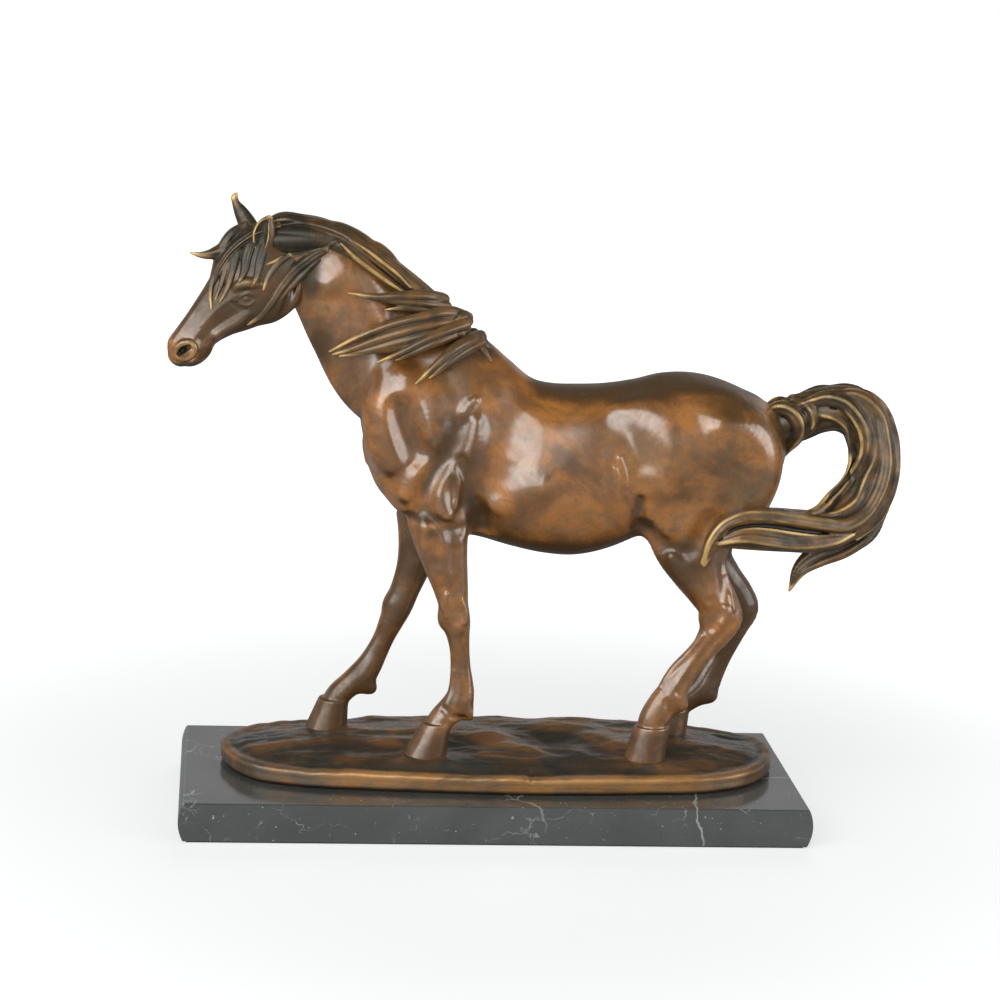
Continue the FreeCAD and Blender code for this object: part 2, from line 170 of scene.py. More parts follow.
class Limb:
    """A smooth run of oval sections. A station is x, y, z, the radius across the run and the lateral radius.
    flutes cuts that many grooves along the run, flute_depth deep as a share of the radius, and twist turns
    them by so many degrees over the whole run."""

    def __init__(self, stations, spacing=2.5, flutes=0, flute_depth=0.0, twist=0.0):
        self.line, self.share = resample(stations, 3, spacing, 4, extra=1)
        self.line[:, 3:] = np.maximum(self.line[:, 3:], 0.3)
        self.flutes = flutes
        self.flute_depth = flute_depth
        self.twist = math.radians(twist)

    def reach(self, clay, margin):
        places = self.line[:, :3]
        widest = np.pad(self.line[:, 3:].max(axis=1), 1, mode="edge")
        widest = np.maximum(np.maximum(widest[:-2], widest[1:-1]), widest[2:])
        reach = widest[:, None] * (1 + self.flute_depth) + margin
        slices, grids = clay.window((places - reach).min(axis=0), (places + reach).max(axis=0))
        if slices is None:
            return None, None
        total = np.full([grid.size for grid in grids], FAR, np.float32)
        for i in range(len(places) - 1):
            self.segment(clay, i, margin, total, slices)
        return slices, total

    def segment(self, clay, i, margin, total, slices):
        """Joins one short cone of the run to the total distance, which covers the slices of the clay."""
        a, b = self.line[i], self.line[i + 1]
        size = max(a[3], a[4], b[3], b[4]) * (1 + self.flute_depth) + margin
        local, grids = clay.window(np.minimum(a[:3], b[:3]) - size, np.maximum(a[:3], b[:3]) + size)
        if local is None:
            return
        last = len(self.line) - 1
        tangents = [self.line[min(j + 1, last), :3] - self.line[max(j - 1, 0), :3] for j in (i, i + 1)]
        way = tangents[0] + tangents[1]
        way /= np.linalg.norm(way)
        side = np.array([0.0, 1.0, 0.0]) - way * way[1]
        side /= np.linalg.norm(side)
        rise = np.cross(way, side)
        span = b[:3] - a[:3]
        away = [grid - start for grid, start in zip(grids, a)]
        run = away[0] * way[0] + away[1] * way[1] + away[2] * way[2]
        t = np.clip(run / np.dot(span, way), 0, 1)
        qx, qy, qz = [d - step * t for d, step in zip(away, span)]
        u, v, w = [qx * axis[0] + qy * axis[1] + qz * axis[2] for axis in (rise, side, way)]
        ru = a[3] + (b[3] - a[3]) * t
        rv = a[4] + (b[4] - a[4]) * t
        if self.flutes:
            phase = self.twist * (self.share[i] + (self.share[i + 1] - self.share[i]) * t)
            angle = np.arctan2(v / rv, u / ru) + phase
            swell = 1 + self.flute_depth * (np.abs(np.cos(angle * self.flutes / 2)) - 0.6)
            ru = ru * swell
            rv = rv * swell
        rw = np.minimum(ru, rv)
        one = np.sqrt((u / ru) ** 2 + (v / rv) ** 2 + (w / rw) ** 2)
        two = np.sqrt((u / ru ** 2) ** 2 + (v / rv ** 2) ** 2 + (w / rw ** 2) ** 2) + TINY
        part = tuple(slice(s.start - c.start, s.stop - c.start) for s, c in zip(local, slices))
        total[part] = np.minimum(total[part], one * (one - 1) / two)


class Barrel:
    """The trunk: upright oval sections along X. A station is x, top, bottom, half width, and the powers of
    the section's upper and lower half: 2 is an ellipse, less is more pointed, more is squarer."""

    def __init__(self, stations):
        self.stations = np.array(stations, float)

    def reach(self, clay, margin):
        s = self.stations
        low = np.array([s[0, 0], -s[:, 3].max(), s[:, 2].min()])
        high = np.array([s[-1, 0], s[:, 3].max(), s[:, 1].max()])
        slices, grids = clay.window(low - TRUNK_ROOM, high + TRUNK_ROOM)
        if slices is None:
            return None, None
        x, y, z = grids
        section = [smooth_line(x, s[:, 0], column).astype(np.float32) for column in s.T[1:]]
        top, bottom, wide, up, down = section
        dz = z - (top + bottom) / 2
        across = np.abs(y) / np.maximum(wide, 0.5)
        upright = np.abs(dz) / np.maximum((top - bottom) / 2, 0.5)
        power = np.where(dz > 0, up, down)
        rho = (across ** power + upright ** power) ** (1 / power) + SMALL
        distance = np.sqrt(y * y + dz * dz) * (1 - 1 / rho)
        slope = np.clip(np.gradient(distance, clay.voxel, axis=0), -2, 2)
        distance = distance / np.sqrt(1 + slope ** 2)
        beyond = np.maximum(np.maximum(s[0, 0] - x, x - s[-1, 0]), 0)
        distance = np.where(beyond > 0, np.hypot(np.maximum(distance, 0), beyond), distance)
        return slices, distance.astype(np.float32)


class Hoof:
    """A flat-topped cone of oval plan between a coronet and a sole, each x, y, z, half length, half width."""

    def __init__(self, coronet, sole):
        self.coronet = np.array(coronet, float)
        self.sole = np.array(sole, float)

    def reach(self, clay, margin):
        ends = np.stack([self.coronet, self.sole])
        size = np.array([ends[:, 3].max(), ends[:, 4].max(), 0]) + margin
        slices, grids = clay.window(ends[:, :3].min(axis=0) - size, ends[:, :3].max(axis=0) + size)
        if slices is None:
            return None, None
        x, y, z = grids
        t = np.clip((z - self.sole[2]) / (self.coronet[2] - self.sole[2]), 0, 1)
        cx, cy, _, rx, ry = [self.sole[n] + (self.coronet[n] - self.sole[n]) * t for n in range(5)]
        rho = np.sqrt(((x - cx) / rx) ** 2 + ((y - cy) / ry) ** 2) + SMALL
        side = np.sqrt((x - cx) ** 2 + (y - cy) ** 2) * (1 - 1 / rho) * 0.93
        cap = np.maximum(z - self.coronet[2], self.sole[2] - z)
        return slices, np.maximum(side, cap).astype(np.float32)


# ---------------------------------------------------------------- the horse's forms
# Stations, as Barrel, Limb and Hoof have them.
TRUNK = [
    (-86, 231, 227, 1, 2, 2), (-85, 241, 221, 5, 2, 2), (-82.5, 252, 216, 11, 2, 2),
    (-78.5, 263, 207, 20, 2, 2), (-70.5, 278, 197, 27.5, 2, 2), (-58, 290, 186, 32, 2, 2.1),
    (-38, 294, 177, 34.5, 1.9, 2.1), (-15, 287, 174.5, 36.5, 1.8, 2.1), (5, 275.5, 169.5, 39, 1.95, 2.2),
    (25, 270, 165.5, 41, 2.1, 2.2), (45, 269.5, 164.5, 41.5, 2.2, 2.2), (62, 270.6, 168, 40.5, 2.2, 2.2),
    (78, 273.6, 174.5, 39, 2.1, 2.2), (95, 278, 184, 38, 2, 2.2), (112, 278.4, 191, 38, 1.95, 2.2),
    (128, 275.3, 196, 37, 1.95, 2.2), (144, 270, 201, 33.5, 2, 2.2), (158, 263.5, 207, 27, 2, 2.1),
    (168, 254, 216, 17.5, 2, 2), (173, 240, 226, 8, 2, 2), (175, 234, 231, 1, 2, 2),
]
NECK = [
    (-24, 0, 252, 37.5, 26), (-46, 0, 267.5, 41.5, 24), (-67.5, 0, 282.5, 41.8, 20),
    (-88, 0, 305.5, 35.5, 17), (-106, 0, 328, 29, 15.5), (-120, -1, 343, 24, 14), (-131, -2, 351, 17, 11),
]
HOOVES = {
    "foreleg_left": [(-36, -24, 61.5, 9, 9.2), (-43, -24, 40, 13.6, 12.2)],
    "foreleg_right": [(-97.5, 24, 61, 9.4, 9.2), (-102, 24, 40, 13.6, 12.2)],
    "hindleg_left": [(97.5, -25, 61.5, 10.6, 9.4), (93.5, -25, 40, 13.2, 12)],
    "hindleg_right": [(119.5, 25, 57.5, 10, 9.4), (114.8, 25, 38, 13.2, 12)],
}
# How far out the stations of a fore and a hind leg lie, from the body down to the pastern.
FORE_OUT = [19, 22, 23.5] + [24] * 12
HIND_OUT = [18, 21, 22, 23, 24, 24.5] + [25] * 10


def leg(side, out, stations):
    """A leg's stations from x, z, the radius and the lateral radius: side -1 is the near side."""
    return [(x, side * y, z, radius, lateral) for (x, z, radius, lateral), y in zip(stations, out)]


LEGS = {
    "foreleg_left": leg(-1, FORE_OUT, [
        (-44, 212, 21, 11), (-42, 196, 18.5, 12.5), (-38.5, 178, 16.5, 12), (-34.8, 162, 13.4, 10.6),
        (-31, 147, 10.6, 9.2), (-28.8, 136, 9, 8.3), (-27, 126, 8.8, 8.6), (-25.2, 117, 7, 7.4),
        (-23.8, 107, 6, 5.8), (-22.8, 96, 6.2, 5.6), (-21.8, 86, 7.2, 6.2), (-22.6, 76, 8.9, 7.4),
        (-28, 69, 8.4, 7.4), (-33, 63.5, 8, 7.8), (-36, 58, 8, 8.2),
    ]),
    "foreleg_right": leg(1, FORE_OUT, [
        (-46, 208, 20, 11), (-46, 190, 18, 12.5), (-46.5, 173, 14.8, 12), (-48, 158, 12.4, 10.6),
        (-51, 145, 10.4, 9.2), (-55, 133, 9.2, 8.3), (-59.2, 121, 8.8, 8.6), (-63.2, 111, 7.6, 7.4),
        (-67, 101.5, 6.6, 5.8), (-71.6, 91, 7, 5.6), (-75.6, 83, 8, 6.4), (-81, 75, 9, 7.4),
        (-88.5, 69, 7.8, 7.2), (-94, 63.5, 7.8, 7.8), (-97.5, 57, 8, 8.2),
    ]),
    "hindleg_left": leg(-1, HIND_OUT, [
        (118, 222, 34, 15), (115, 203, 31, 16), (114, 188, 27.5, 15), (116, 175, 23.5, 13),
        (120.5, 162, 17.8, 11.2), (127.5, 149.5, 14, 9.5), (134, 139, 12.8, 8.8), (135.8, 131, 13.6, 8.8),
        (133.5, 122.5, 10.6, 8), (127.5, 112.5, 8, 6.8), (119.5, 100, 6.6, 5.8), (113, 89.5, 7.4, 6.2),
        (107, 80, 9.6, 7.6), (101, 71, 9.4, 7.8), (98, 64.5, 9.2, 8), (97, 58, 8.6, 8.4),
    ]),
    "hindleg_right": leg(1, HIND_OUT, [
        (118, 222, 34, 15), (121, 203, 31, 16), (125, 187, 27.5, 15), (130, 172, 23, 13),
        (135.5, 157, 15, 11.2), (145, 143.5, 12.6, 9.5), (154, 132, 12, 8.8), (157, 124, 12.6, 8.8),
        (154.5, 114.5, 10.4, 8), (151, 103, 8.2, 6.8), (146.5, 91, 7.2, 5.8), (141.8, 80.5, 8.2, 6.2),
        (137.5, 71.5, 9.4, 7.4), (128, 64, 8.2, 7.4), (121, 59, 8.4, 8), (118.5, 53, 8.4, 8.4),
    ]),
}


def trunk_forms():
    """The trunk and neck, and the legs running up into them."""
    forms = [("add", Barrel(TRUNK), 0), ("add", Limb(NECK), 16)]
    for side in (-1, 1):
        forms += [
            ("add", Egg((-60.5, side * 13, 219), (17.5, 16, 30), tilt=-20), 8),     # chest
            ("add", Egg((-69.5, side * 17, 251), (13.5, 14, 36), tilt=-4), 10),     # front of the shoulder
            ("add", Egg((118, side * 21, 241), (40, 21, 31), tilt=10), 14),         # croup and haunch
            ("add", Egg((144.5, side * 18, 220), (20, 16, 36), tilt=-4), 14),       # buttock
        ]
    return forms + [("add", Limb(stations), 12) for stations in LEGS.values()]


def crease(guide, points, width, depth, side, blend):
    """A groove in the skin through x, z points, running out at both ends."""
    stations = []
    for (x, z), share in zip(*resample(points, 2, 3, 5)):
        fade = math.sin(math.pi * (0.06 + 0.88 * share)) ** 0.5
        y = guide.skin_y(x, z, side) + side * (width - depth * fade)
        stations.append((x, y, z, width, width))
    return ("carve", Limb(stations, spacing=2), blend)


# Muscles and bones under the skin of the trunk: points of x, z and radius, how proud, and the blend.
TRUNK_RIDGES = [
    ([(-65, 275, 5), (-69, 266, 11), (-72.5, 256, 14), (-73, 245, 14), (-72.5, 234, 11),
      (-70, 225, 6)], 3.4, 8),
    ([(-64, 263, 4), (-57, 267, 12), (-51, 261, 14), (-48.5, 251, 13), (-48, 239, 6)], 3.2, 8),
    ([(-111, 329, 5), (-102, 334, 11), (-92, 329, 12), (-83, 318, 9), (-78, 308, 4)], 3, 7),
    ([(-45, 232, 3), (-50, 223, 7), (-56, 213.5, 8.5), (-61, 207, 5)], 3.4, 6),
    ([(-34.5, 229, 1.5), (-38, 220, 5), (-42, 211, 7), (-41, 202, 8), (-37, 195, 5)], 3.2, 3),
    ([(-32.5, 229, 1), (-29.5, 219, 3.2), (-27.8, 209, 4.4), (-30, 200, 4)], 2.8, 2.5),
    ([(-21, 250, 4), (-23, 241, 8), (-25.5, 233, 7.5), (-28, 227, 4)], 2.4, 6),
    ([(-22, 264, 2), (-26.5, 259, 4), (-31, 250, 3)], 1.4, 3),
    ([(-27, 222, 3), (-19, 214, 8), (-16, 204, 5)], 1.6, 6),
    ([(-14, 203, 4), (-4, 207, 10), (8, 212, 12), (20, 214, 6)], 2, 9),
    ([(63, 227, 1), (66.4, 218, 1.8), (69.5, 211, 0.8)], 0.8, 1.5),
    ([(65.5, 233, 1), (68.5, 224, 1.8), (70.5, 215, 0.8)], 0.6, 1.5),
    ([(86, 221, 5), (88.5, 209, 9), (90, 197, 10), (95, 187, 7)], 2.6, 8),
    ([(126, 254, 6), (141, 249, 11), (150, 240, 12), (152, 227, 12), (149, 213, 11), (143, 201, 6)], 2.2, 10),
    ([(70, 257, 7), (84, 254, 13), (94, 245, 15), (97, 231, 13), (94, 218, 6)], 3, 10),
    ([(87, 217, 3), (87.5, 205, 6), (88.5, 192, 4)], 2.2, 4),
]
# The trunk's creases: points of x, z, then the width, the depth and the blend.
TRUNK_GROOVES = [
    ([(-66.5, 258), (-64, 249), (-60, 240), (-54, 231)], 8, 2, 6),
    ([(-31, 250), (-33, 240), (-38.5, 230), (-46, 218), (-50, 207), (-49.5, 199)], 6, 1.9, 5),
    ([(-30, 228), (-25.5, 219), (-23, 210), (-24, 202), (-26, 195), (-25, 186)], 4.5, 1.8, 3),
    ([(-66, 186), (-62, 188), (-57, 191.5), (-51, 196), (-44, 191), (-36, 186), (-27, 184.5)], 3.2, 2, 4),
    ([(-22, 206), (-19, 198), (-15, 190), (-13, 182)], 7, 5, 5),
    ([(-1, 252), (-3, 238), (-7, 224), (-12, 212)], 16, 1.6, 9),
    ([(79.5, 206), (79, 200), (78.8, 194), (80, 187)], 3.6, 1.5, 3.5),
    ([(84, 187), (92, 179), (102, 174.5), (111.5, 177), (117, 185), (123, 194)], 6, 1.6, 6),
]


def muscle_forms(guide):
    """Muscles and creases of the trunk, on both sides."""
    forms = []
    for side in (-1, 1):
        forms += [lay(guide, points, side, proud, blend, spacing=3) for points, proud, blend in TRUNK_RIDGES]
        for points, width, depth, blend in TRUNK_GROOVES:
            forms.append(crease(guide, points, width, depth, side, blend))
    return forms


# Fetlocks and knees: the middle, the radii, the tilt and the blend.
LEG_JOINTS = [
    ((-17.5, -24, 68), (6, 5, 5), 30, 4),           # near fore fetlock
    ((-76.5, 24, 69), (6.4, 5, 5), 30, 4),          # far fore fetlock
    ((112.5, -25, 76.5), (7, 5, 5.4), 30, 4),       # near hind fetlock
    ((140.5, 25, 66.5), (6.4, 5, 5), 25, 4),        # far hind fetlock
    ((-33, -24, 129), (5, 6, 8), 6, 3),             # near knee
    ((-63, 24, 124), (5, 6, 8), 24, 3),             # far knee
]
# The legs' muscles, tendons and bones, as on the trunk: side -1 is the near side.
LEG_RIDGES = [
    (-1, [(-49, 186, 2), (-46, 177, 5), (-42, 166, 5), (-38, 153, 2)], 0.8, 5),    # near forearm
    (-1, [(-33.5, 145, 1.5), (-34.5, 138, 3), (-33, 131, 2)], 1.2, 1.5),    # near knee
    (-1, [(-25, 141, 1), (-22.5, 134, 2.4), (-22.5, 127, 1.6)], 1, 1.5),
    (-1, [(-27, 95, 1.5), (-27.6, 82, 2.4), (-31, 73, 2)], 0.8, 2),    # near fore cannon
    (-1, [(102, 171, 2), (111, 160, 5), (121, 150.5, 4.5), (128, 142, 2)], 0.8, 5),    # near gaskin
    (-1, [(136, 156, 1), (140, 145, 1.8), (142.5, 138, 1)], 1, 1.5),    # hamstring
    (-1, [(136.5, 142, 1.5), (138, 135, 3), (134.5, 130.5, 2)], 1.2, 1.5),    # near hock
    (-1, [(124.5, 121, 1.5), (117.5, 108.7, 2.6), (108.7, 97.5, 2.6), (101.5, 87, 2)], 0.8, 2),
    (1, [(-50, 170, 2), (-53, 155, 4), (-57, 142, 2)], 1, 4),    # far forearm
    (1, [(149, 136, 1.5), (152, 128, 3), (148, 122, 2)], 1, 2),    # far hock
]
LEG_GROOVES = [
    (-1, [(-32, 186), (-30.6, 175), (-30, 164.7), (-28.4, 152), (-29, 144)], 4, 1.3, 4),
    (-1, [(-44, 180), (-42, 165), (-37.5, 150)], 4, 0.6, 4),
    (-1, [(-30, 148), (-27.5, 138), (-26.5, 128)], 2.6, 0.8, 2.5),
    (-1, [(-22.5, 118), (-20.8, 105), (-19.8, 93), (-20, 80)], 2.4, 0.9, 2),
    (-1, [(-33, 72), (-27, 67), (-20, 65)], 2, 0.9, 2),
    (-1, [(136.5, 174), (136, 166), (137.6, 154), (137.4, 146)], 4, 1.2, 4),
    (-1, [(143, 130), (132.4, 118.8), (124.8, 107.6), (118.3, 96.4), (112, 85)], 2.4, 1.1, 2),
    (-1, [(128, 144), (131, 136), (129, 127)], 3, 0.7, 3),
    (-1, [(104, 79), (107, 73), (106, 68)], 2, 0.9, 2),
    (1, [(-53, 121), (-62, 106), (-67.5, 94), (-72.5, 82)], 2.4, 0.9, 2),
    (1, [(-41, 172), (-45, 156), (-50, 140)], 4, 1.2, 4),
    (1, [(153, 116), (148.8, 104), (145.6, 91), (142, 79)], 2.4, 0.9, 2),
    (1, [(139, 168), (146, 156), (152, 146)], 4, 1.2, 4),
]


def limb_forms(guide):
    """Fetlocks, and the muscles, tendons and joints of the legs."""
    forms = [("add", Egg(middle, radii, tilt), blend) for middle, radii, tilt, blend in LEG_JOINTS]
    for side, points, proud, blend in LEG_RIDGES:
        forms.append(lay(guide, points, side, proud, blend))
    for side, points, width, depth, blend in LEG_GROOVES:
        forms.append(crease(guide, points, width, depth, side, blend))
    return forms


def hoof_forms():
    """The four hooves, crisp against the pasterns."""
    return [("add", Hoof(coronet, sole), 1.2) for coronet, sole in HOOVES.values()]


HEAD = [
    (-134, -3, 343, 17, 10), (-142, -4.5, 337, 26, 14), (-153.3, -6.5, 327.8, 25.1, 16),
    (-164.1, -9, 317.7, 20.6, 14), (-175, -11.5, 308.2, 14.8, 11.4), (-183.8, -13.5, 299.4, 11.7, 9.8),
    (-190.5, -15.5, 291, 11.2, 9.4), (-194.5, -16.4, 287, 10.2, 8.8), (-196.5, -16.8, 284.6, 7.8, 7.4),
]


def on_face(x, out, z, side):
    """A point of the head, out from its middle plane, which turns to the near side towards the muzzle."""
    middle = -3 + (x + 134) * 0.22
    return (x - side * out * 0.215, middle + side * out * 0.977, z)


def face_forms(side, rows):
    """Round runs along points of x, out, z, radius on one side of the head."""
    forms = []
    for action, points, blend in rows:
        line = [(*on_face(x, out, z, side), radius, radius) for x, out, z, radius in points]
        forms.append((action, Limb(line, spacing=1), blend))
    return forms


# What is worked into the face before and after the eyeball: action, points of x, out, z, radius, and blend.
FACE_BONES = [
    # under the cheek bone, beside the jaw, and behind the jaw
    ("carve", [(-169, 14.8, 310.5, 1.4), (-176.4, 12.9, 304.4, 2.2), (-181.2, 11.7, 300, 2),
               (-186, 10.4, 294.7, 1.2)], 4),
    ("carve", [(-157.8, 16.2, 317, 0.8), (-158.8, 15.6, 311, 1.5), (-164, 13.4, 304.4, 1)], 2),
    ("carve", [(-134, 12, 327, 1.5), (-137, 14, 316, 2.6), (-141, 12, 306, 1.5)], 4),
    # the bone from the eye towards the nose, and the jaw
    ("add", [(-166, 11, 321.4, 1.2), (-170, 10.4, 319.2, 1.7), (-175.6, 9.3, 315, 1.9),
             (-180, 8.3, 310, 1.6), (-186, 7, 303, 0.8)], 2.5),
    ("add", [(-160, 12, 311.5, 1.8), (-164.8, 11.4, 306.5, 2.4), (-171.2, 9.8, 302, 2.4),
             (-177.6, 8.6, 297.4, 1.8)], 3),
    # brow, and the hollow round the eye
    ("add", [(-168.6, 10.6, 322.8, 1.2), (-166.4, 11.6, 326.6, 2.8), (-161, 13.2, 328.9, 3.4),
             (-154.6, 13.8, 328.2, 2.6)], 1.2),
    ("carve", [(-166.4, 15.4, 319, 1.7), (-161.4, 17.4, 319.8, 3.5), (-156.4, 17.2, 320, 2)], 1.4),
    ("carve", [(-169.6, 12.6, 317, 0.8), (-165.3, 14.2, 313.6, 1.6), (-159.6, 15.2, 313, 1.2)], 1.5),
]
FACE_DETAILS = [
    # eyelids
    ("add", [(-166.4, 12.2, 318.6, 0.5), (-163.6, 13.4, 322, 0.9), (-160, 14.2, 323.2, 1),
             (-156.4, 14.2, 320.4, 0.6)], 0.5),
    ("add", [(-166.4, 12.2, 318.4, 0.5), (-163, 13.4, 316.2, 0.7), (-159.4, 14, 316.2, 0.7),
             (-156.4, 14.2, 319.2, 0.5)], 0.5),
    # nostril and mouth
    ("add", [(-200.6, 7.6, 290.2, 0.7), (-197.4, 9, 292.8, 1.3), (-193, 9.8, 293, 1.6),
             (-190.2, 10.2, 290, 1.5), (-191.2, 10, 286, 1.2), (-194.4, 9.2, 283, 0.8)], 1.6),
    ("carve", [(-199, 8, 285.6, 1.5), (-196.8, 8.4, 288, 2.5), (-194, 10, 290.4, 1.7)], 0.6),
    ("carve", [(-198.4, 5.4, 286.2, 1.2), (-196, 5.8, 288.4, 1.7)], 0.6),
    ("carve", [(-202, 4.5, 281.6, 0.5), (-196.4, 9, 280.4, 0.9), (-191.2, 9.8, 283.2, 1),
               (-185.5, 10, 288.6, 0.9), (-181, 10, 291.6, 0.4)], 0.8),
]


def head_forms():
    """The skull, cheeks, eyes, muzzle and jaw."""
    nose = [(-160, -9, 339, 4.6, 5.4), (-178, -12, 322, 3.6, 4), (-192, -15.5, 303, 3, 3.6),
            (-199.5, -17, 291.5, 3, 4)]
    chin = Egg(on_face(-186.2, 0, 284, 1), (8.8, 6.4, 4.8), tilt=-38)
    forms = [("add", Limb(HEAD, spacing=2), 0), ("add", chin, 3), ("add", Limb(nose), 5)]
    for side in (-1, 1):
        cheek = Egg(on_face(-146, 7, 320, side), (14, 7.5, 16), tilt=30)
        nostril = Egg(on_face(-194.5, 6.5, 287, side), (6, 4.5, 7), tilt=-35)
        eyeball = Egg(on_face(-161.2, 11.3, 319.6, side), (3.5, 3.2, 2.6))
        forms += [("add", cheek, 6), ("add", nostril, 3)] + face_forms(side, FACE_BONES)
        forms += [("add", eyeball, 0.4)] + face_forms(side, FACE_DETAILS)
    return forms


# ---------------------------------------------------------------- the horse's hair
# Stations of the masses of hair.
FORELOCK = [
    (-142, -3, 361, 4, 9), (-156, -5, 356, 4.5, 11.5), (-168, -8, 346, 4.2, 10.5),
    (-175.5, -11, 334, 3.4, 8), (-179.5, -14, 322, 2, 4), (-181, -15, 315, 0.8, 1),
]
TAIL = [
    (158, 0, 243, 13, 8), (168, 0, 247, 13.5, 9.5), (181, 0, 253, 14.5, 11), (193, 0, 257.4, 13.6, 12.5),
    (206, -1, 259.5, 14, 13.5), (218.5, -2, 255.2, 14.8, 14.5), (226.5, -4, 242.5, 13.5, 15),
    (229.5, -7, 228, 13, 15), (227, -10, 213, 13.5, 14), (218, -15, 199.5, 13.8, 13),
    (206, -21, 190, 12.6, 11.5), (190, -28, 187, 12, 10), (172, -34, 188.5, 12, 8.5),
    (155, -39, 189.5, 11.4, 7), (141, -41.5, 189.5, 10.4, 6.2), (130, -42, 186.5, 7.4, 5.2),
    (123.5, -42, 179, 3.8, 3.6), (120.5, -41, 168, 0.9, 0.9),
]
TAIL_LOWER_LOCK = [
    (235, -10, 199, 4, 7), (226, -13, 186, 7, 8), (211, -15, 177, 7.4, 7), (196, -16, 171, 7, 5.5),
    (185.4, -16, 161.5, 4.6, 4), (179.6, -16, 147, 0.8, 0.8),
]
MANE_CREST = [
    (-145, -2, 357, 6, 7), (-127, -2, 360, 6.5, 11), (-107, -3, 357, 6.5, 12), (-85, -4, 345.5, 6, 12),
    (-65, -4, 331.5, 6, 11.5), (-46, -4, 317, 5.5, 10.5), (-33, -4, 305, 5, 9), (-23, -3, 297, 3, 6),
]


def lay(guide, points, side, proud, blend, action="add", flat=1.0, flutes=0, spacing=1.5):
    """A strand lying on the guide's skin. Points are x, z and radius, and proud is how far it stands out.
    A flat below 1 makes it wider along Y and as much thinner across."""
    x, z, radius = resample(points, 2, 3, 4)[0].T
    y = np.array([guide.skin_y(a, b, side) for a, b in zip(x, z)])
    for _ in range(3):
        y[1:-1] = (y[:-2] + 2 * y[1:-1] + y[2:]) / 4
    y = y + side * np.minimum(proud, radius) - side * radius / flat
    stations = np.stack([x, y, z, radius * flat, radius / flat], axis=1)
    return (action, Limb(stations, spacing=spacing, flutes=flutes, flute_depth=0.16), blend)


# The brow's locks: points of x, z and radius, and how proud they lie.
BROW_LOCKS = [
    ([(-160, 361, 2.4), (-168, 355.5, 3.4), (-173.5, 346.8, 3.6), (-176, 338, 3.2), (-178, 331, 2.6),
      (-179.6, 323, 2), (-179, 312, 0.6)], 2.6),
    ([(-157, 359, 2.6), (-164.5, 354, 3.6), (-168.5, 346, 3.6), (-170.8, 337, 3), (-173.2, 328, 2.4),
      (-176.8, 318, 0.7)], 2.4),
    ([(-154, 357, 2.6), (-160, 354.5, 4), (-164.4, 346, 4.6), (-166.6, 336.5, 3.8), (-169.4, 327, 2.6),
      (-174.6, 316, 0.6)], 2.2),
    ([(-152, 356, 3), (-155.6, 351.5, 4.6), (-158.6, 343.5, 5.2), (-160, 336, 4), (-163, 330, 1.2)], 2),
    ([(-148, 352, 3), (-150, 345.5, 4.4), (-151.8, 338, 4), (-153.6, 331, 2.2), (-156, 327, 0.8)], 1.8),
]


def forelock_forms(guide):
    """The hair of the brow: a layer over the forehead, its locks, and one tuft thrown forward."""
    forms = [("add", Limb(FORELOCK, flutes=12, flute_depth=0.10, twist=15), 0)]
    for side in (-1, 1):
        forms += [lay(guide, points, side, proud, 1.2, flutes=5, flat=0.8) for points, proud in BROW_LOCKS]
    tuft = [(-166, -6, 349, 4, 5), (-174, -8, 345.5, 4, 5), (-181, -9, 343, 2.8, 3.2),
            (-186, -9.5, 342.8, 1.8, 2), (-192.3, -10, 344, 0.5, 0.5)]
    return forms + [("add", Limb(tuft, flutes=5, flute_depth=0.15, twist=90), 1.5)]


# The tail's ribbons: points of x, z and radius, and how proud they lie. The grooves have no second value.
TAIL_RIBBONS = [
    # inner ribbon: over the top, round the hole and back towards the root
    ([(176, 261, 1.5), (186, 265, 3), (196, 267.5, 4.4), (205, 265.5, 4.8), (213, 258.5, 4.6),
      (219, 248, 4.4), (220.5, 236, 4.2), (217.5, 224.5, 4), (210, 214, 3.6), (199.5, 206.5, 2.8),
      (187, 200.5, 0.8)], 3.4),
    # outer ribbon: over the top and along the whole sweep to the tip
    ([(198, 269, 1), (208, 270.5, 3), (218, 267.5, 4.4), (227, 259, 4.8), (231.5, 244, 4.8), (233, 230, 4.8),
      (228.5, 211, 4.8), (220, 199, 4.8), (208.5, 193, 4.8), (193.5, 194, 4.6), (176, 197, 4.4),
      (157.5, 199.5, 4.2), (141, 199, 4), (130, 194, 3.4), (123, 184.5, 2.6), (119.5, 170, 0.9)], 4),
    # under the sweep
    ([(214, 187, 1), (203, 184, 3), (190, 182.5, 4), (174, 182.5, 4.2), (158.5, 185, 4), (142, 187, 3.4),
      (126, 183, 0.7)], 3.2),
    # between the two big ribbons
    ([(187, 267, 1), (198, 270, 2), (210, 268.5, 2.6), (220, 261, 3), (225, 249, 3), (227, 237, 3),
      (222, 221, 3), (214.5, 206, 2.8), (203, 199.5, 2), (190, 199, 0.8)], 1.6),
    # the outside of the curve
    ([(214, 271.5, 1), (226.5, 266.5, 2.6), (235.5, 255.5, 3), (239.5, 242, 3.2), (240, 228, 3.2),
      (237.5, 210, 3.2), (230.5, 194, 2.8), (217, 183.5, 1.4)], 2.2),
    # the inside of the curve
    ([(190, 257, 1), (199, 256.5, 2.4), (208, 251, 2.6), (213.5, 241, 2.6), (215, 231, 2.2),
      (213, 223, 0.8)], 1.8),
    ([(208, 210, 0.8), (201, 205, 2), (192, 201, 2.4), (181, 199, 2), (170, 201, 0.8)], 1.4),
    # round the root
    ([(161, 258, 2), (169, 260, 4.4), (177, 255.5, 4.8), (180, 247, 4.6), (177, 238, 4), (171, 226, 1)], 4.2),
    ([(176, 265, 1.5), (185, 261, 2.8), (188, 252.5, 2.8), (184, 243, 1)], 2.6),
]
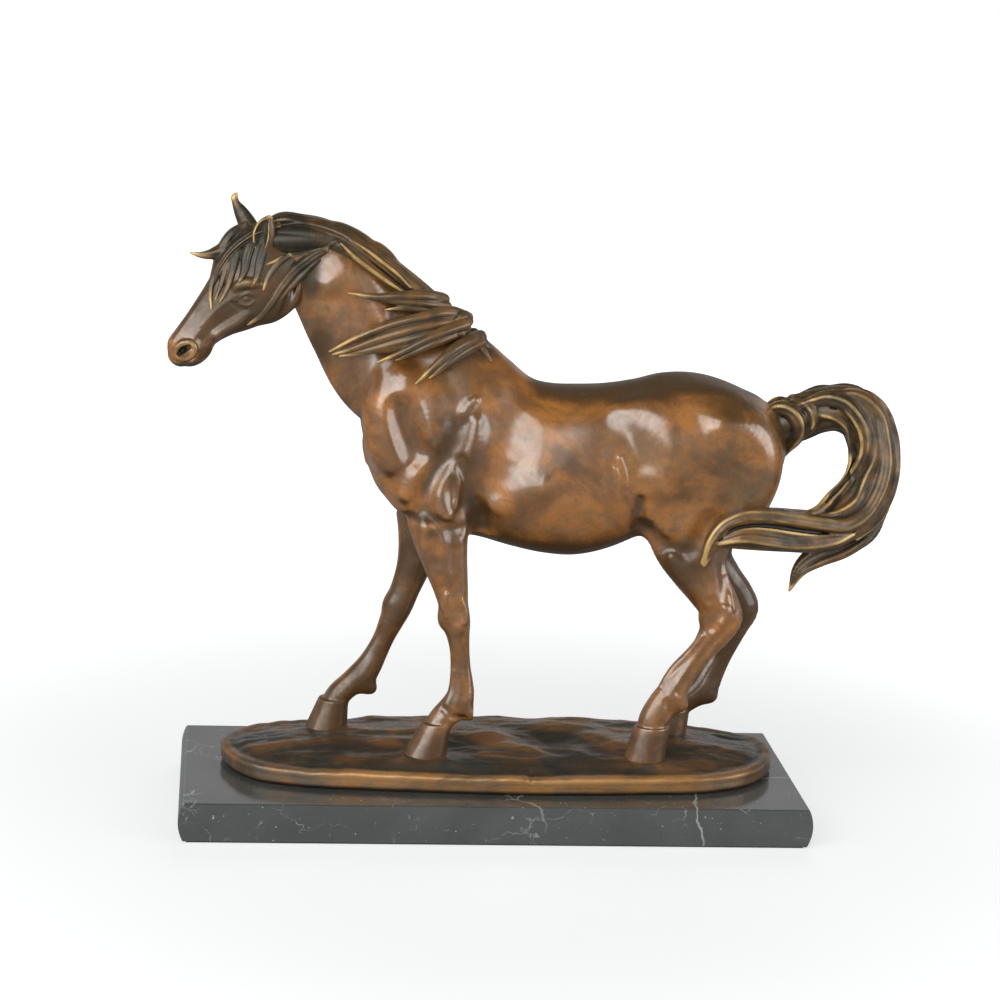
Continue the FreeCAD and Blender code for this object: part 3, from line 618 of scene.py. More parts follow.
TAIL_GROOVES = [
    [(198, 262, 0.8), (208, 259, 1.6), (216, 251, 1.8), (221.5, 241, 1.8), (217, 227, 1.8), (208, 215, 1.6),
     (196, 205, 0.7)],
    [(221, 196, 0.8), (210, 188, 1.8), (196, 188.5, 2), (180, 190.5, 2), (163, 193.5, 2), (148, 194.5, 1.8),
     (136, 192, 1.4), (127, 185, 0.7)],
    [(232, 255, 0.7), (236, 242, 1.4), (236.5, 228, 1.6), (232, 210, 1.6), (223, 196, 0.8)],
]


def tail_forms():
    """The tail's thick body of hair, and over it the ribbons that catch the light."""
    guide = Clay((108, -62, 152), (252, 26, 286), 1.6, [("add", Limb(TAIL), 0)])
    forms = [("add", Limb(TAIL, flutes=9, flute_depth=0.07, twist=70), 0)]
    for side in (-1, 1):
        for points, proud in TAIL_RIBBONS:
            forms.append(lay(guide, points, side, proud, 1.6, flutes=5 if points[2][2] > 3 else 3))
        for points in TAIL_GROOVES:
            forms.append(lay(guide, points, side, -0.4, 1.2, "carve"))
    return forms


def lower_lock_forms():
    """The lock that hangs below the tail."""
    return [
        ("add", Limb(TAIL_LOWER_LOCK, flutes=8, flute_depth=0.14, twist=60), 0),
        ("add", Limb([(234, -17, 192, 1, 1), (225, -20.5, 182, 2.4, 2.4), (212, -22, 173, 2.6, 2.6),
                      (197, -21.5, 166.5, 2.4, 2.4), (187.5, -19.5, 160.5, 2, 2),
                      (179.8, -16.5, 148, 0.6, 0.6)]), 1),
        ("add", Limb([(230, -18.5, 196, 1, 1), (218, -22, 186, 2, 2), (204, -21.5, 178, 2, 2),
                      (190, -19, 172, 1, 1)]), 0.8),
    ]


# The stations of the crest's locks. Each has a twin on the far side.
CREST_LOCKS = [
    [(-147, -4, 361, 3, 4), (-139, -5, 364.6, 3.6, 5), (-127, -5, 363.6, 4, 5), (-112, -5, 361.2, 3.8, 5),
     (-97, -5, 354, 1.5, 2)],
    [(-120, -4, 361, 1.5, 3), (-107, -4, 360.5, 3.6, 4.5), (-96, -4, 356.5, 4, 4.8), (-86, -4.5, 351, 3.4, 4),
     (-76, -5, 344.5, 0.8, 1)],
    [(-92, -3, 352, 1.5, 3), (-83, -3.5, 349.5, 3.6, 4.5), (-75, -4, 344, 3.6, 4.5),
     (-65, -5, 334.5, 0.8, 1)],
    [(-78, -2, 341, 1.5, 3), (-68, -3, 336, 3.4, 4.5), (-59, -4, 329.5, 3.6, 4.5), (-49, -5, 322, 3, 4),
     (-38, -6, 314, 1, 1)],
    [(-126, -10, 358, 2, 2), (-112, -12.5, 354, 3.4, 3), (-99, -14, 348, 3.4, 2.8), (-85, -14.5, 338, 3, 2.4),
     (-70, -15, 327.5, 2.4, 2), (-54, -15, 318, 0.8, 0.8)],
    [(-106, -10, 357, 1.5, 1.5), (-94, -11.5, 352, 2.8, 2.6), (-84, -12, 346, 3, 2.6),
     (-73, -12.5, 337, 2.8, 2.4), (-61, -12.5, 328, 2.2, 2.2), (-46, -12, 317, 0.8, 0.8)],
    [(-149, -8, 353, 5, 5), (-140, -10.5, 353, 7.5, 7), (-128, -12, 354, 7.5, 6.4),
     (-116, -12.5, 354.5, 5.5, 5), (-103, -12, 353, 1.5, 1.5)],
]
# Thin strands over the locks: x, z and radius.
CREST_STRAYS = [
    [(-107, 354.5, 0.6), (-114, 349.8, 1.5), (-121, 347.4, 1.8), (-128, 346.2, 1.7), (-137, 343.6, 1.5),
     (-147.5, 339.8, 0.5)],
    [(-104, 353, 0.8), (-95, 345, 1.8), (-86, 338.5, 1.8), (-76.5, 332, 1.6), (-67, 326, 0.7)],
    [(-98, 355, 0.6), (-88, 349, 1.3), (-79.5, 343, 1.3), (-70, 336, 1.2), (-62, 328, 0.6)],
]


def crest_forms():
    """The mane along the neck's crest, and the hair gathered behind the near ear."""
    forms = [("add", Limb(MANE_CREST, flutes=12, flute_depth=0.07, twist=100), 0)]
    for lock in CREST_LOCKS:
        far = [(x, -y - 4, z, radius, lateral) for x, y, z, radius, lateral in lock]
        for stations, twist in ((lock, 50), (far, -50)):
            forms.append(("add", Limb(stations, spacing=1.8, flutes=5, flute_depth=0.10, twist=twist), 1.0))
    below = [("add", Limb(NECK), 0), ("add", Limb(HEAD), 0)]
    guide = Clay((-160, -32, 285), (-10, 24, 376), 1.5, forms + below)
    return forms + [lay(guide, strand, -1, 1.3, 0.6) for strand in CREST_STRAYS]


# The stations of the strands of each blown lock.
BLOWN_LOCKS = {
    "mane_lock_1": [
        [(-42, -7, 320.5, 4, 5), (-52, -16.5, 323.6, 3.8, 4), (-66, -21.5, 324, 3, 3.2),
         (-82, -22.5, 323, 2.2, 2.4), (-99, -21, 324.5, 0.5, 0.5)],
        [(-40, -10, 316.5, 3.6, 4), (-54, -18.5, 319.5, 3, 3.2), (-70, -22, 320.5, 2, 2.4),
         (-88, -22.5, 322, 0.5, 0.5)],
        [(-44, -13, 314.5, 2.4, 3), (-58, -20.5, 316, 2, 2.2), (-68, -22.5, 317, 1.5, 1.6),
         (-77, -22.5, 315.5, 0.5, 0.5)],
    ],
    "mane_lock_2": [
        [(-30, -9, 311.5, 3.6, 5), (-36.5, -16, 314, 4, 4.6), (-45, -22, 314.5, 3.8, 4),
         (-56, -25.5, 312, 3.2, 3.4), (-70, -26.5, 308.5, 2.8, 3), (-84, -26, 303, 2.2, 2.4),
         (-97, -23.5, 296.3, 1.6, 1.8), (-109, -20, 289, 0.5, 0.5)],
        [(-28, -12, 309, 4.6, 5), (-45, -22.5, 308.5, 4.4, 4.4), (-62, -27, 304.5, 4, 4),
         (-80, -27, 298.5, 3.2, 3.2), (-95, -24, 292, 2, 2.2), (-107, -20.5, 287.5, 0.5, 0.5)],
        [(-32, -18, 303, 4.2, 4.4), (-50, -26, 302, 4, 4), (-68, -28, 297.5, 3.4, 3.4),
         (-86, -26, 291.5, 2.3, 2.4), (-103, -21.5, 286.6, 0.5, 0.5)],
        [(-40, -23.5, 300, 3, 3.4), (-54, -27.5, 297.5, 3, 3.2), (-70, -28, 293.8, 2.4, 2.6),
         (-88, -25.5, 289.6, 0.5, 0.5)],
        [(-27, -10, 311, 3, 4), (-31, -16, 311, 4.5, 5), (-36, -20, 307, 3, 3)],
    ],
    "mane_lock_3": [
        [(-29, -19, 308, 4, 4.4), (-43, -28, 304, 3.4, 3.8), (-55, -31.5, 298.6, 2.8, 3.2),
         (-65, -32, 293, 2, 2.4), (-81, -29, 285, 0.5, 0.5)],
        [(-36, -24, 302, 3, 3.4), (-48, -30.5, 297.6, 2.6, 3), (-60, -32, 292, 1.8, 2),
         (-70, -31, 287, 0.5, 0.5)],
    ],
    "mane_lock_4": [
        [(-19, -6, 298.5, 4, 5), (-26, -17, 297.5, 4.2, 4.6), (-35, -27, 294, 3.6, 3.8),
         (-46, -33, 285.4, 2.4, 2.6), (-58, -35, 274, 0.5, 0.5)],
        [(-19, -13, 296, 3.4, 4), (-29, -24, 292.5, 3.2, 3.4), (-40, -32, 285.6, 2.2, 2.4),
         (-50, -35, 277.6, 0.5, 0.5)],
    ],
    "withers_lock": [
        [(-22, -3, 299, 4, 5), (-17, -5, 295, 3.6, 4.2), (-12.5, -6.5, 288.6, 2.8, 3.2),
         (-8.5, -8, 281.6, 2, 2.4), (-5.5, -9.5, 273.8, 0.6, 0.6)],
        [(-22, -10, 297, 3, 3.6), (-17, -13, 291.5, 2.4, 2.8), (-12.5, -14.5, 285, 1.6, 1.8),
         (-9.5, -14, 279, 0.5, 0.5)],
    ],
}


def blown_lock_forms(name):
    """One lock of the mane blown off the crest, as a few fluted strands side by side."""
    strands = [Limb(line, spacing=1.8, flutes=5, flute_depth=0.07, twist=60) for line in BLOWN_LOCKS[name]]
    return [("add", strand, 0.7) for strand in strands]


def cheek_lock_forms(guide):
    """The locks that fall from behind the ear, over the cheek to the jaw."""
    main = [(-113, 348.5, 2), (-118, 346, 3.2), (-124, 341.5, 3.6), (-131.5, 335.5, 3.2), (-138, 327.5, 2.8),
            (-144, 317.5, 2.3), (-151, 308.5, 1.6), (-157.5, 303.5, 0.6)]
    inner = [(-117, 343, 1.6), (-121.5, 339, 2.4), (-127.5, 332.5, 2.4), (-133.5, 326.5, 2),
             (-140, 317.5, 0.6)]
    front = [(-134, 345, 1.6), (-141, 340, 2.2), (-146, 333, 2), (-149, 325, 0.6)]
    return [
        lay(guide, main, -1, 2.4, 0.8, flutes=6),
        lay(guide, inner, -1, 2.0, 0.8, flutes=5),
        lay(guide, front, -1, 1.4, 0.8, flutes=5),
    ]


def ear_forms(outside, hollow):
    """An ear: a thin-walled cup, pointed at the top."""
    return [("add", Limb(outside, spacing=1), 0), ("carve", Limb(hollow, spacing=1), 0.5)]


EARS = {
    "ear_left": ear_forms(
        [(-149.5, -13, 344, 5, 4.5), (-149.6, -14.6, 351, 6.2, 4.6), (-149.2, -15.2, 357.5, 6.6, 4.4),
         (-148, -15.4, 362.5, 5.2, 3.4), (-146.4, -15.4, 366.6, 2.2, 1.8)],
        [(-151.6, -19, 347.5, 2, 2), (-151.7, -19, 353, 3.9, 3.8), (-151, -18.8, 359, 4, 3.4),
         (-149.4, -18, 363.2, 2.4, 2), (-147.8, -17.6, 365, 1, 1)]),
    "ear_right": ear_forms(
        [(-155, 6.5, 352, 6, 5), (-159, 8, 360, 5.4, 4.6), (-163, 9, 366.8, 4, 3.4),
         (-166.2, 9.6, 372.4, 2.2, 2.2), (-166.9, 10, 375.4, 1.9, 1.9), (-165.8, 10, 377, 1, 1)],
        [(-162, 13, 357, 2, 2), (-163.4, 13, 363, 3, 3), (-166, 12.6, 369, 1.8, 1.8),
         (-167.4, 12, 373, 0.7, 0.7)]),
}


# ---------------------------------------------------------------- meshing
def box_blur(values, radius):
    """A voxel array blurred by three passes of a moving average, radius voxels each way."""
    for _ in range(3):
        for axis in range(3):
            pad = [(0, 0)] * 3
            pad[axis] = (radius + 1, radius)
            summed = np.cumsum(np.pad(values, pad, mode="edge"), axis=axis, dtype=np.float32)
            ahead = [slice(None)] * 3
            behind = [slice(None)] * 3
            ahead[axis] = slice(2 * radius + 1, None)
            behind[axis] = slice(0, -2 * radius - 1)
            values = (summed[tuple(ahead)] - summed[tuple(behind)]) / (2 * radius + 1)
    return values


def mesh_of(clay):
    """The clay's surface as points and four-sided faces, pulled exactly onto it, and the field's slope."""
    near = np.clip(clay.field, -NEAR, NEAR)
    grid = openvdb.FloatGrid(NEAR)
    grid.copyFromArray(near)
    points, quads = grid.convertToQuads(0.0)
    points = points.astype(float) * clay.voxel + clay.low
    slope = np.gradient(near, clay.voxel)
    for _ in range(2):
        height = clay.sample(clay.field, points)
        way = np.stack([clay.sample(s, points) for s in slope], axis=1)
        steep = np.maximum((way ** 2).sum(axis=1), 0.1)
        step = np.clip(height / steep, -clay.voxel, clay.voxel)
        points -= way * step[:, None]
    return points, quads, slope


def cast(name, slot, nodes, low, high, voxel, forms, keep=(), drop=(), dark=(), worn=(), gold=1.0):
    """A casting sculpted between two corners and cut to the convex regions to keep or drop.
    dark are the places where the patina is darker or shade is painted, and worn where it is rubbed to gold."""
    clay = Clay(low, high, voxel * DETAIL, forms)
    points, quads, slope = mesh_of(clay)
    mesh = bpy.data.meshes.new(name)
    mesh.from_pydata((points * MM).tolist(), [], quads.tolist())
    mesh.update()
    if keep or drop:
        cut_mesh(mesh, keep, drop)
    hair = slot == "hair_bronze"
    points, normals = dress(mesh, clay, slope, hair)
    tone = spots(points, dark)
    # Outside the hair, the tone also takes in the painted shade from shade().
    write_value(mesh, "tone", tone if hair else np.maximum(tone, shade(points, normals)))
    write_value(mesh, "gold", np.maximum(spots(points, worn), gold))
    show(name, mesh, slot, nodes)


def show(name, mesh, slot, nodes):
    """Puts a mesh in the scene with its material, in place of the CAD nodes."""
    piece = bpy.data.objects.new(name, mesh)
    bpy.context.scene.collection.objects.link(piece)
    mesh.materials.append(SLOTS[slot])
    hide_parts(*nodes)
    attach(piece, "root")


def inside(points, region):
    """Which points lie behind every plane of a region. A plane is a point on it and its outward normal."""
    kept = np.ones(len(points), bool)
    for spot, out in region:
        kept &= (points - np.array(spot)) @ np.array(out) < 0
    return kept


def cut_mesh(mesh, keep, drop):
    """Keeps what lies in the keep region and in none of the drop regions, and closes the cuts."""
    bm = bmesh.new()
    bm.from_mesh(mesh)
    for spot, out in [plane for region in [keep] + list(drop) for plane in region]:
        geometry = bm.verts[:] + bm.edges[:] + bm.faces[:]
        bmesh.ops.bisect_plane(bm, geom=geometry, dist=1e-7, plane_co=Vector(spot) * MM, plane_no=Vector(out))
    bm.faces.ensure_lookup_table()
    centres = np.array([face.calc_center_median()[:] for face in bm.faces]) / MM
    kept = inside(centres, keep)
    for region in drop:
        kept &= ~inside(centres, region)
    gone = [bm.faces[i] for i in np.nonzero(~kept)[0]]
    bmesh.ops.delete(bm, geom=gone, context="FACES")
    rims = [edge for edge in bm.edges if edge.is_boundary]
    for face in bmesh.ops.holes_fill(bm, edges=rims, sides=0)["faces"]:
        face.material_index = CUT_FACE
    bm.to_mesh(mesh)
    bm.free()


def points_of(mesh):
    """The mesh's points in millimetres."""
    points = np.empty(len(mesh.vertices) * 3)
    mesh.vertices.foreach_get("co", points)
    return points.reshape(-1, 3) / MM


def dress(mesh, clay, slope, level):
    """Shading normals from the clay, and how deep in a hollow or high on an edge each point lies, over a
    fine and a broad reach. With level, 0 is the piece's own middle and 1 its sharpest twentieth."""
    points = points_of(mesh)
    normals = np.stack([clay.sample(s, points) for s in slope], axis=1)
    normals /= np.maximum(np.linalg.norm(normals, axis=1), SMALL)[:, None]
    corner = np.empty(len(mesh.loops), int)
    mesh.loops.foreach_get("vertex_index", corner)
    loop_normals = normals[corner].copy()
    for face in mesh.polygons:
        if face.material_index == CUT_FACE:
            loop_normals[face.loop_start:face.loop_start + face.loop_total] = face.normal
            face.material_index = 0
    mesh.shade_smooth()
    mesh.normals_split_custom_set(loop_normals.tolist())
    for label, reach, cap in (("fine", 1.2, 3.0), ("broad", 3.5, 8.0)):
        clipped = np.clip(clay.field, -cap, cap)
        blurred = box_blur(clipped, max(1, int(round(reach / clay.voxel))))
        rise = clay.sample(blurred, points)
        if level:
            middle, high = np.percentile(rise, (50, 95))
            rise = (rise - middle) / (high - middle)
        write_value(mesh, label, rise)
    return points, normals


def write_value(mesh, label, values):
    """Gives each point of the mesh a value that the materials read by its label."""
    attribute = mesh.attributes.new(label, "FLOAT", "POINT")
    attribute.data.foreach_set("value", np.asarray(values, np.float32))


def spots(points, places):
    """How much each point lies in any of the places, each x, y, z, three radii and an amount."""
    total = np.zeros(len(points))
    for x, y, z, rx, ry, rz, amount in places:
        away = (((points - (x, y, z)) / (rx, ry, rz)) ** 2).sum(axis=1)
        total = np.maximum(total, amount * np.exp(-away))
    return total


def step_up(values, low, high):
    """A smooth step from 0 at low to 1 at high."""
    t = np.clip((values - low) / (high - low), 0, 1)
    return t * t * (3 - 2 * t)


def shade(points, normals):
    """Painted shade along the back and on other faces turned up, under the belly and on other faces turned
    down, and on the legs' inner sides; and darker towards the hooves.
    """
    x, y, z = points.T
    up = step_up(normals[:, 2], 0.62, 1.0) * 0.72
    under = step_up(-normals[:, 2], 0.35, 0.9) * 0.7
    inner = step_up(-normals[:, 1] * np.sign(y), -0.1, 0.6) * step_up(190 - z, 0, 30) * 0.55
    low_leg = step_up(160 - z, 0, 60) * 0.32 + step_up(63 - z, 0, 8) * 0.2
    return np.maximum.reduce([up, under, inner, low_leg])


# ---------------------------------------------------------------- materials
class Wiring:
    """A node tree being wired up."""

    def __init__(self, tree):
        self.tree = tree

    def plug(self, value, socket):
        """Wires a socket, or sets its value from a number, a vector or a colour."""
        if isinstance(value, bpy.types.NodeSocket):
            self.tree.links.new(value, socket)
        elif isinstance(value, tuple) and len(socket.default_value) == 4:
            socket.default_value = (*value, 1)
        else:
            socket.default_value = value

    def node(self, kind, sockets, **settings):
        """The outputs of a new node, with the sockets plugged in by name or number."""
        node = self.tree.nodes.new("ShaderNode" + kind)
        for label, value in settings.items():
            setattr(node, label, value)
        for label, value in sockets.items():
            self.plug(value, node.inputs[label])
        return node.outputs

    def ramp(self, source, low, high, start=0.0, end=1.0):
        """A smooth change from start to end as the source goes from low to high."""
        sockets = {"Value": source, "From Min": low, "From Max": high, "To Min": start, "To Max": end}
        return self.node("MapRange", sockets, interpolation_type="SMOOTHSTEP")["Result"]

    def between(self, share, start, end):
        """A value that goes straight from start to end as the share goes from 0 to 1."""
        return self.node("MapRange", {"Value": share, "To Min": start, "To Max": end})["Result"]

    def add(self, first, second):
        return self.node("Math", {0: first, 1: second}, operation="ADD")["Value"]

    def times(self, first, second):
        return self.node("Math", {0: first, 1: second}, operation="MULTIPLY")["Value"]


class Look(Wiring):
    """A material being wired up. Places are the object's own, in metres."""

    def __init__(self, name, **settings):
        self.material = bpy.data.materials.new(name)
        self.material.use_nodes = True
        super().__init__(self.material.node_tree)
        self.shader = self.tree.nodes["Principled BSDF"]
        self.place = self.node("TexCoord", {})["Object"]
        for label, value in settings.items():
            self.set(label.replace("_", " "), value)

    def set(self, label, value):
        self.plug(value, self.shader.inputs[label])

    def noise(self, scale, detail=3, rough=0.55, stretch=None, warp=0.0):
        place = self.place
        if stretch:
            place = self.node("Mapping", {"Vector": place, "Scale": stretch})["Vector"]
        sockets = {"Vector": place, "Scale": scale, "Detail": detail, "Roughness": rough, "Distortion": warp}
        return self.node("TexNoise", sockets)["Fac"]

    def value(self, attribute):
        return self.node("Attribute", {}, attribute_name=attribute)["Fac"]

    def mix(self, share, first, second):
        return self.node("Mix", {0: share, 6: first, 7: second}, data_type="RGBA")[2]

    def bump(self, height, strength, distance):
        sockets = {"Height": height, "Strength": strength, "Distance": distance}
        self.set("Normal", self.node("Bump", sockets)["Normal"])


BLACK = (0.012, 0.010, 0.007)
SLATE = (0.060, 0.055, 0.040)
UMBER = (0.072, 0.034, 0.010)
CHESTNUT = (0.165, 0.064, 0.015)
ORANGE = (0.355, 0.130, 0.021)
OLIVE = (0.145, 0.092, 0.036)
GOLD = (0.62, 0.40, 0.15)


def body_look():
    """Chestnut bronze under a glossy lacquer, darker and duller in hollows and where the tone is dark; the
    tone holds both darker patina and painted shade.
    """
    look = Look("body_bronze", Metallic=0.12, Specular_IOR_Level=0.2, Coat_IOR=1.9)
    blotch = look.ramp(look.noise(24, 5, 0.62, warp=0.8), 0.40, 0.62)
    colour = look.mix(blotch, ORANGE, CHESTNUT)
    olive = look.ramp(look.noise(34, 6, 0.68, warp=0.9), 0.50, 0.68, 0, 0.6)
    colour = look.mix(olive, colour, OLIVE)
    smoke = look.ramp(look.noise(75, 6, 0.7, warp=1.2), 0.53, 0.72, 0, 0.55)
    colour = look.mix(smoke, colour, UMBER)
    grain = look.noise(600, 3, 0.6)
    tone = look.add(look.value("tone"), look.ramp(look.noise(70, 5, 0.65), 0.25, 0.75, -0.14, 0.14))
    colour = look.mix(look.ramp(tone, 0.06, 0.6, 0, 0.95), colour, UMBER)
    colour = look.mix(look.ramp(tone, 0.5, 1.0, 0, 0.85), colour, SLATE)
    colour = look.mix(look.ramp(tone, 1.0, 1.3, 0, 0.95), colour, BLACK)
    # Darker in broad hollows and black in fine creases: patina in the hollows, and painted shade in the
    # creases.
    colour = look.mix(look.ramp(look.value("broad"), -0.15, -1.4, 0, 0.92), colour, UMBER)
    colour = look.mix(look.ramp(look.value("fine"), -0.08, -0.75, 0, 0.94), colour, BLACK)
    wear = look.times(look.value("gold"), look.ramp(look.value("fine"), 0.12, 0.4))
    colour = look.mix(wear, colour, GOLD)
    colour = look.mix(look.ramp(grain, 0.35, 0.75, 0.0, 0.25), colour, UMBER)
    look.set("Base Color", colour)
    look.set("Roughness", look.ramp(grain, 0.3, 0.7, 0.42, 0.56))
    film = look.ramp(look.noise(95, 6, 0.72, warp=0.8), 0.32, 0.66, 1.0, 0.62)
    look.set("Coat Weight", look.times(film, look.ramp(tone, 0.25, 0.8, 1.0, 0.15)))
    look.set("Coat Roughness", look.ramp(look.noise(40, 4, 0.6), 0.3, 0.7, 0.19, 0.29))
    look.bump(look.add(grain, look.noise(140, 4, 0.6)), 0.10, 0.0005)
    return look.material


def hair_look():
    """Dark patina in the depths of the hair, brown on the strands and gold where their edges are rubbed."""
    look = Look("hair_bronze", Metallic=0.25, Specular_IOR_Level=0.3, Coat_Roughness=0.3, Coat_IOR=1.6)
    fine = look.value("fine")
    blotch = look.ramp(look.noise(60, 5, 0.65, warp=0.6), 0.38, 0.62)
    strand = look.mix(blotch, (0.160, 0.078, 0.024), (0.075, 0.046, 0.020))
    tone = look.add(look.value("tone"), look.ramp(look.noise(110, 5, 0.65), 0.25, 0.75, -0.22, 0.22))
    strand = look.mix(look.ramp(tone, 0.2, 0.9, 0, 0.95), strand, (0.022, 0.019, 0.013))
    colour = look.mix(look.ramp(fine, -1.8, -0.3), (0.022, 0.016, 0.009), strand)
    worn = look.times(look.ramp(look.noise(150, 4), 0.3, 0.6, 0.45, 1), look.ramp(fine, 0.55, 1.4))
    colour = look.mix(look.times(worn, look.value("gold")), colour, (0.56, 0.35, 0.125))
    look.set("Base Color", colour)
    grain = look.noise(700, 3, 0.6)
    look.set("Roughness", look.ramp(grain, 0.3, 0.7, 0.36, 0.52))
    look.set("Coat Weight", look.ramp(tone, 0.3, 0.9, 0.42, 0.12))
    look.bump(grain, 0.14, 0.0004)
    return look.material


def ground_look():
    """Near-black ground with rust-brown rises, and a lip rubbed to gold."""
    look = Look("ground_bronze", Metallic=0.4, Coat_Weight=0.4, Coat_Roughness=0.25)
    rust = look.ramp(look.noise(24, 6, 0.66, (1, 1.8, 2), 0.8), 0.38, 0.58)
    colour = look.mix(rust, (0.060, 0.050, 0.034), (0.19, 0.082, 0.024))
    colour = look.mix(look.ramp(look.value("fine"), 0.1, 0.9, 0, 0.6), colour, (0.22, 0.100, 0.030))
    colour = look.mix(look.ramp(look.value("fine"), -0.1, -0.9, 0, 0.8), colour, (0.022, 0.022, 0.017))
    # Black where the tone is high: painted shade at the lip's foot, and darker patina towards the right end.
    colour = look.mix(look.ramp(look.value("tone"), 0.3, 0.9, 0, 0.7), colour, BLACK)
    wear = look.ramp(look.noise(38, 6, 0.68, (0.4, 1, 2.0), 0.8), 0.32, 0.62, 0.15, 1)
    colour = look.mix(look.times(wear, look.value("gold")), colour, (0.42, 0.205, 0.064))
    look.set("Base Color", colour)
    grain = look.noise(420, 4, 0.65)
    look.set("Roughness", look.ramp(grain, 0.3, 0.7, 0.36, 0.55))
    look.bump(grain, 0.25, 0.0006)
    return look.material


def marble_look():
    """Polished dark grey marble with thin white veins and specks."""
    look = Look("marble", Roughness=0.14, IOR=2.15)
    cloud = look.ramp(look.noise(14, 6, 0.65, warp=0.5), 0.35, 0.7)
    colour = look.mix(cloud, (0.040, 0.042, 0.040), (0.060, 0.063, 0.059))
    for scale, stretch, width, reach in ((11, 1, 0.012, 0.8), (27, 4.7, 0.016, 0.55)):
        warp = look.node("TexNoise", {"Vector": look.place, "Scale": scale * 1.6, "Detail": 5})["Color"]
        sockets = {0: warp, 1: (0.05, 0.05, 0.05), 2: look.place}
        warped = look.node("VectorMath", sockets, operation="MULTIPLY_ADD")["Vector"]
        cells = look.node("TexVoronoi", {"Vector": warped, "Scale": scale}, feature="DISTANCE_TO_EDGE")
        line = look.ramp(cells["Distance"], width, 0.0)
        patchy = look.ramp(look.noise(scale * 0.9, 3, stretch=(1, 1.3, stretch)), 0.5, 0.68, 0, reach)
        colour = look.mix(look.times(line, patchy), colour, (0.42, 0.43, 0.41))
    speck = look.ramp(look.noise(330, 2, 0.5), 0.70, 0.76, 0, 0.5)
    colour = look.mix(speck, colour, (0.5, 0.5, 0.48))
    look.set("Base Color", colour)
    return look.material


def plain_look(name, colour, **settings):
    return Look(name, Base_Color=colour, **settings).material


def felt_look():
    look = Look("felt", Roughness=1.0, Sheen_Weight=0.4)
    look.set("Base Color", look.mix(look.noise(900, 2), (0.008, 0.028, 0.012), (0.02, 0.06, 0.028)))
    look.bump(look.noise(1500, 2), 0.5, 0.0004)
    return look.material


SLOTS = {
    "body_bronze": body_look(),
    "hair_bronze": hair_look(),
    "ground_bronze": ground_look(),
    "marble": marble_look(),
    "felt": felt_look(),
    "steel": plain_look("steel", (0.55, 0.55, 0.56), Metallic=1.0, Roughness=0.32),
    "bare_bronze": plain_look("bare_bronze", (0.62, 0.38, 0.16), Metallic=1.0, Roughness=0.4),
}


# ---------------------------------------------------------------- castings
NECK_CUT = ((-40, 0, 262), (-0.8, 0, 0.6))      # the torso lies behind this plane
NECK_SIDE = ((-40, 0, 262), (0.8, 0, -0.6))     # and the neck before it


def leg_region(name):
    """The planes around one leg, from just under the chest or the flank."""
    side = 1 if "right" in name else -1
    middle = ((0, 0, 0), (0, -side, 0))
    if "fore" in name:
        return [((0, 0, 172), (0, 0, 1)), ((-14, 0, 0), (1, 0, 0)), middle]
    return [((80, 0, 172), (-0.48, 0, 0.88)), ((80, 0, 0), (-1, 0, 0)), middle]


# Where the body is darker: patina smudges and broad tone, and painted shade under the tail, mane and belly,
# on the tops of the back and rump, on the far legs, and in folds and hollows: x, y, z, three radii and how
# dark.
BODY_PATINA_AND_SHADE = [
    (165, 0, 240, 14, 30, 26, 0.8),        # painted shade under the tail
    (112, -25, 168, 22, 24, 22, 0.75),     # painted shade behind the stifle, under the tail's sweep
    (128, 25, 150, 30, 22, 40, 0.85),      # painted shade on the far hind leg
    (-18, -34, 192, 8, 16, 11, 1.2),       # painted shade in the hollow behind the elbow
    (80, -34, 184, 5, 14, 7, 0.8),         # painted shade in the flank fold
    (-75, 24, 130, 26, 16, 40, 0.35),      # painted shade on the far fore leg
    (-96, -4, 262, 12, 16, 30, 0.5),       # front of the neck
    (-112, -8, 292, 12, 16, 22, 0.6),      # throat
    (-121, -12, 335, 8, 12, 20, 0.9),      # behind the cheek
    (-80, 0, 344, 30, 18, 10, 0.75),       # painted shade under the mane
    (-50, -6, 318, 30, 20, 10, 0.75),
    (-20, -14, 294, 20, 18, 10, 0.8),
    (128, -44, 232, 26, 12, 14, 0.22),     # smudge on the haunch
    (36, -46, 232, 12, 12, 10, 0.45),      # smudge on the ribs
    (60, 0, 306, 90, 24, 12, 0.4),         # painted shade along the top of the back
    (120, 0, 312, 50, 30, 16, 0.5),        # painted shade on the top of the croup
    (20, 0, 184, 70, 26, 8, 0.6),          # painted shade under the belly
    (-84, -20, 300, 36, 24, 26, 0.34),     # neck
    (-34, -34, 240, 20, 20, 44, 0.48),     # shoulder
    (120, -38, 220, 46, 24, 40, 0.36),     # haunch
    (130, -34, 262, 18, 24, 12, 0.6),      # croup
    (2, -38, 178, 60, 20, 14, 0.42),       # painted shade on the lower ribs, where the barrel turns under
    (-38, -34, 182, 16, 12, 8, 0.5),       # painted shade on the top of the forearm, under the chest
    (110, 0, 286, 70, 40, 14, 0.8),        # painted shade on the top of the rump
    (-50, -30, 192, 18, 16, 4, 0.7),       # painted shade in the crease under the chest
    (4, -38, 248, 16, 14, 18, 0.25),       # behind the shoulder
    (79, -38, 186, 4, 14, 5, 1.25),        # painted shade in the fold in front of the stifle
]
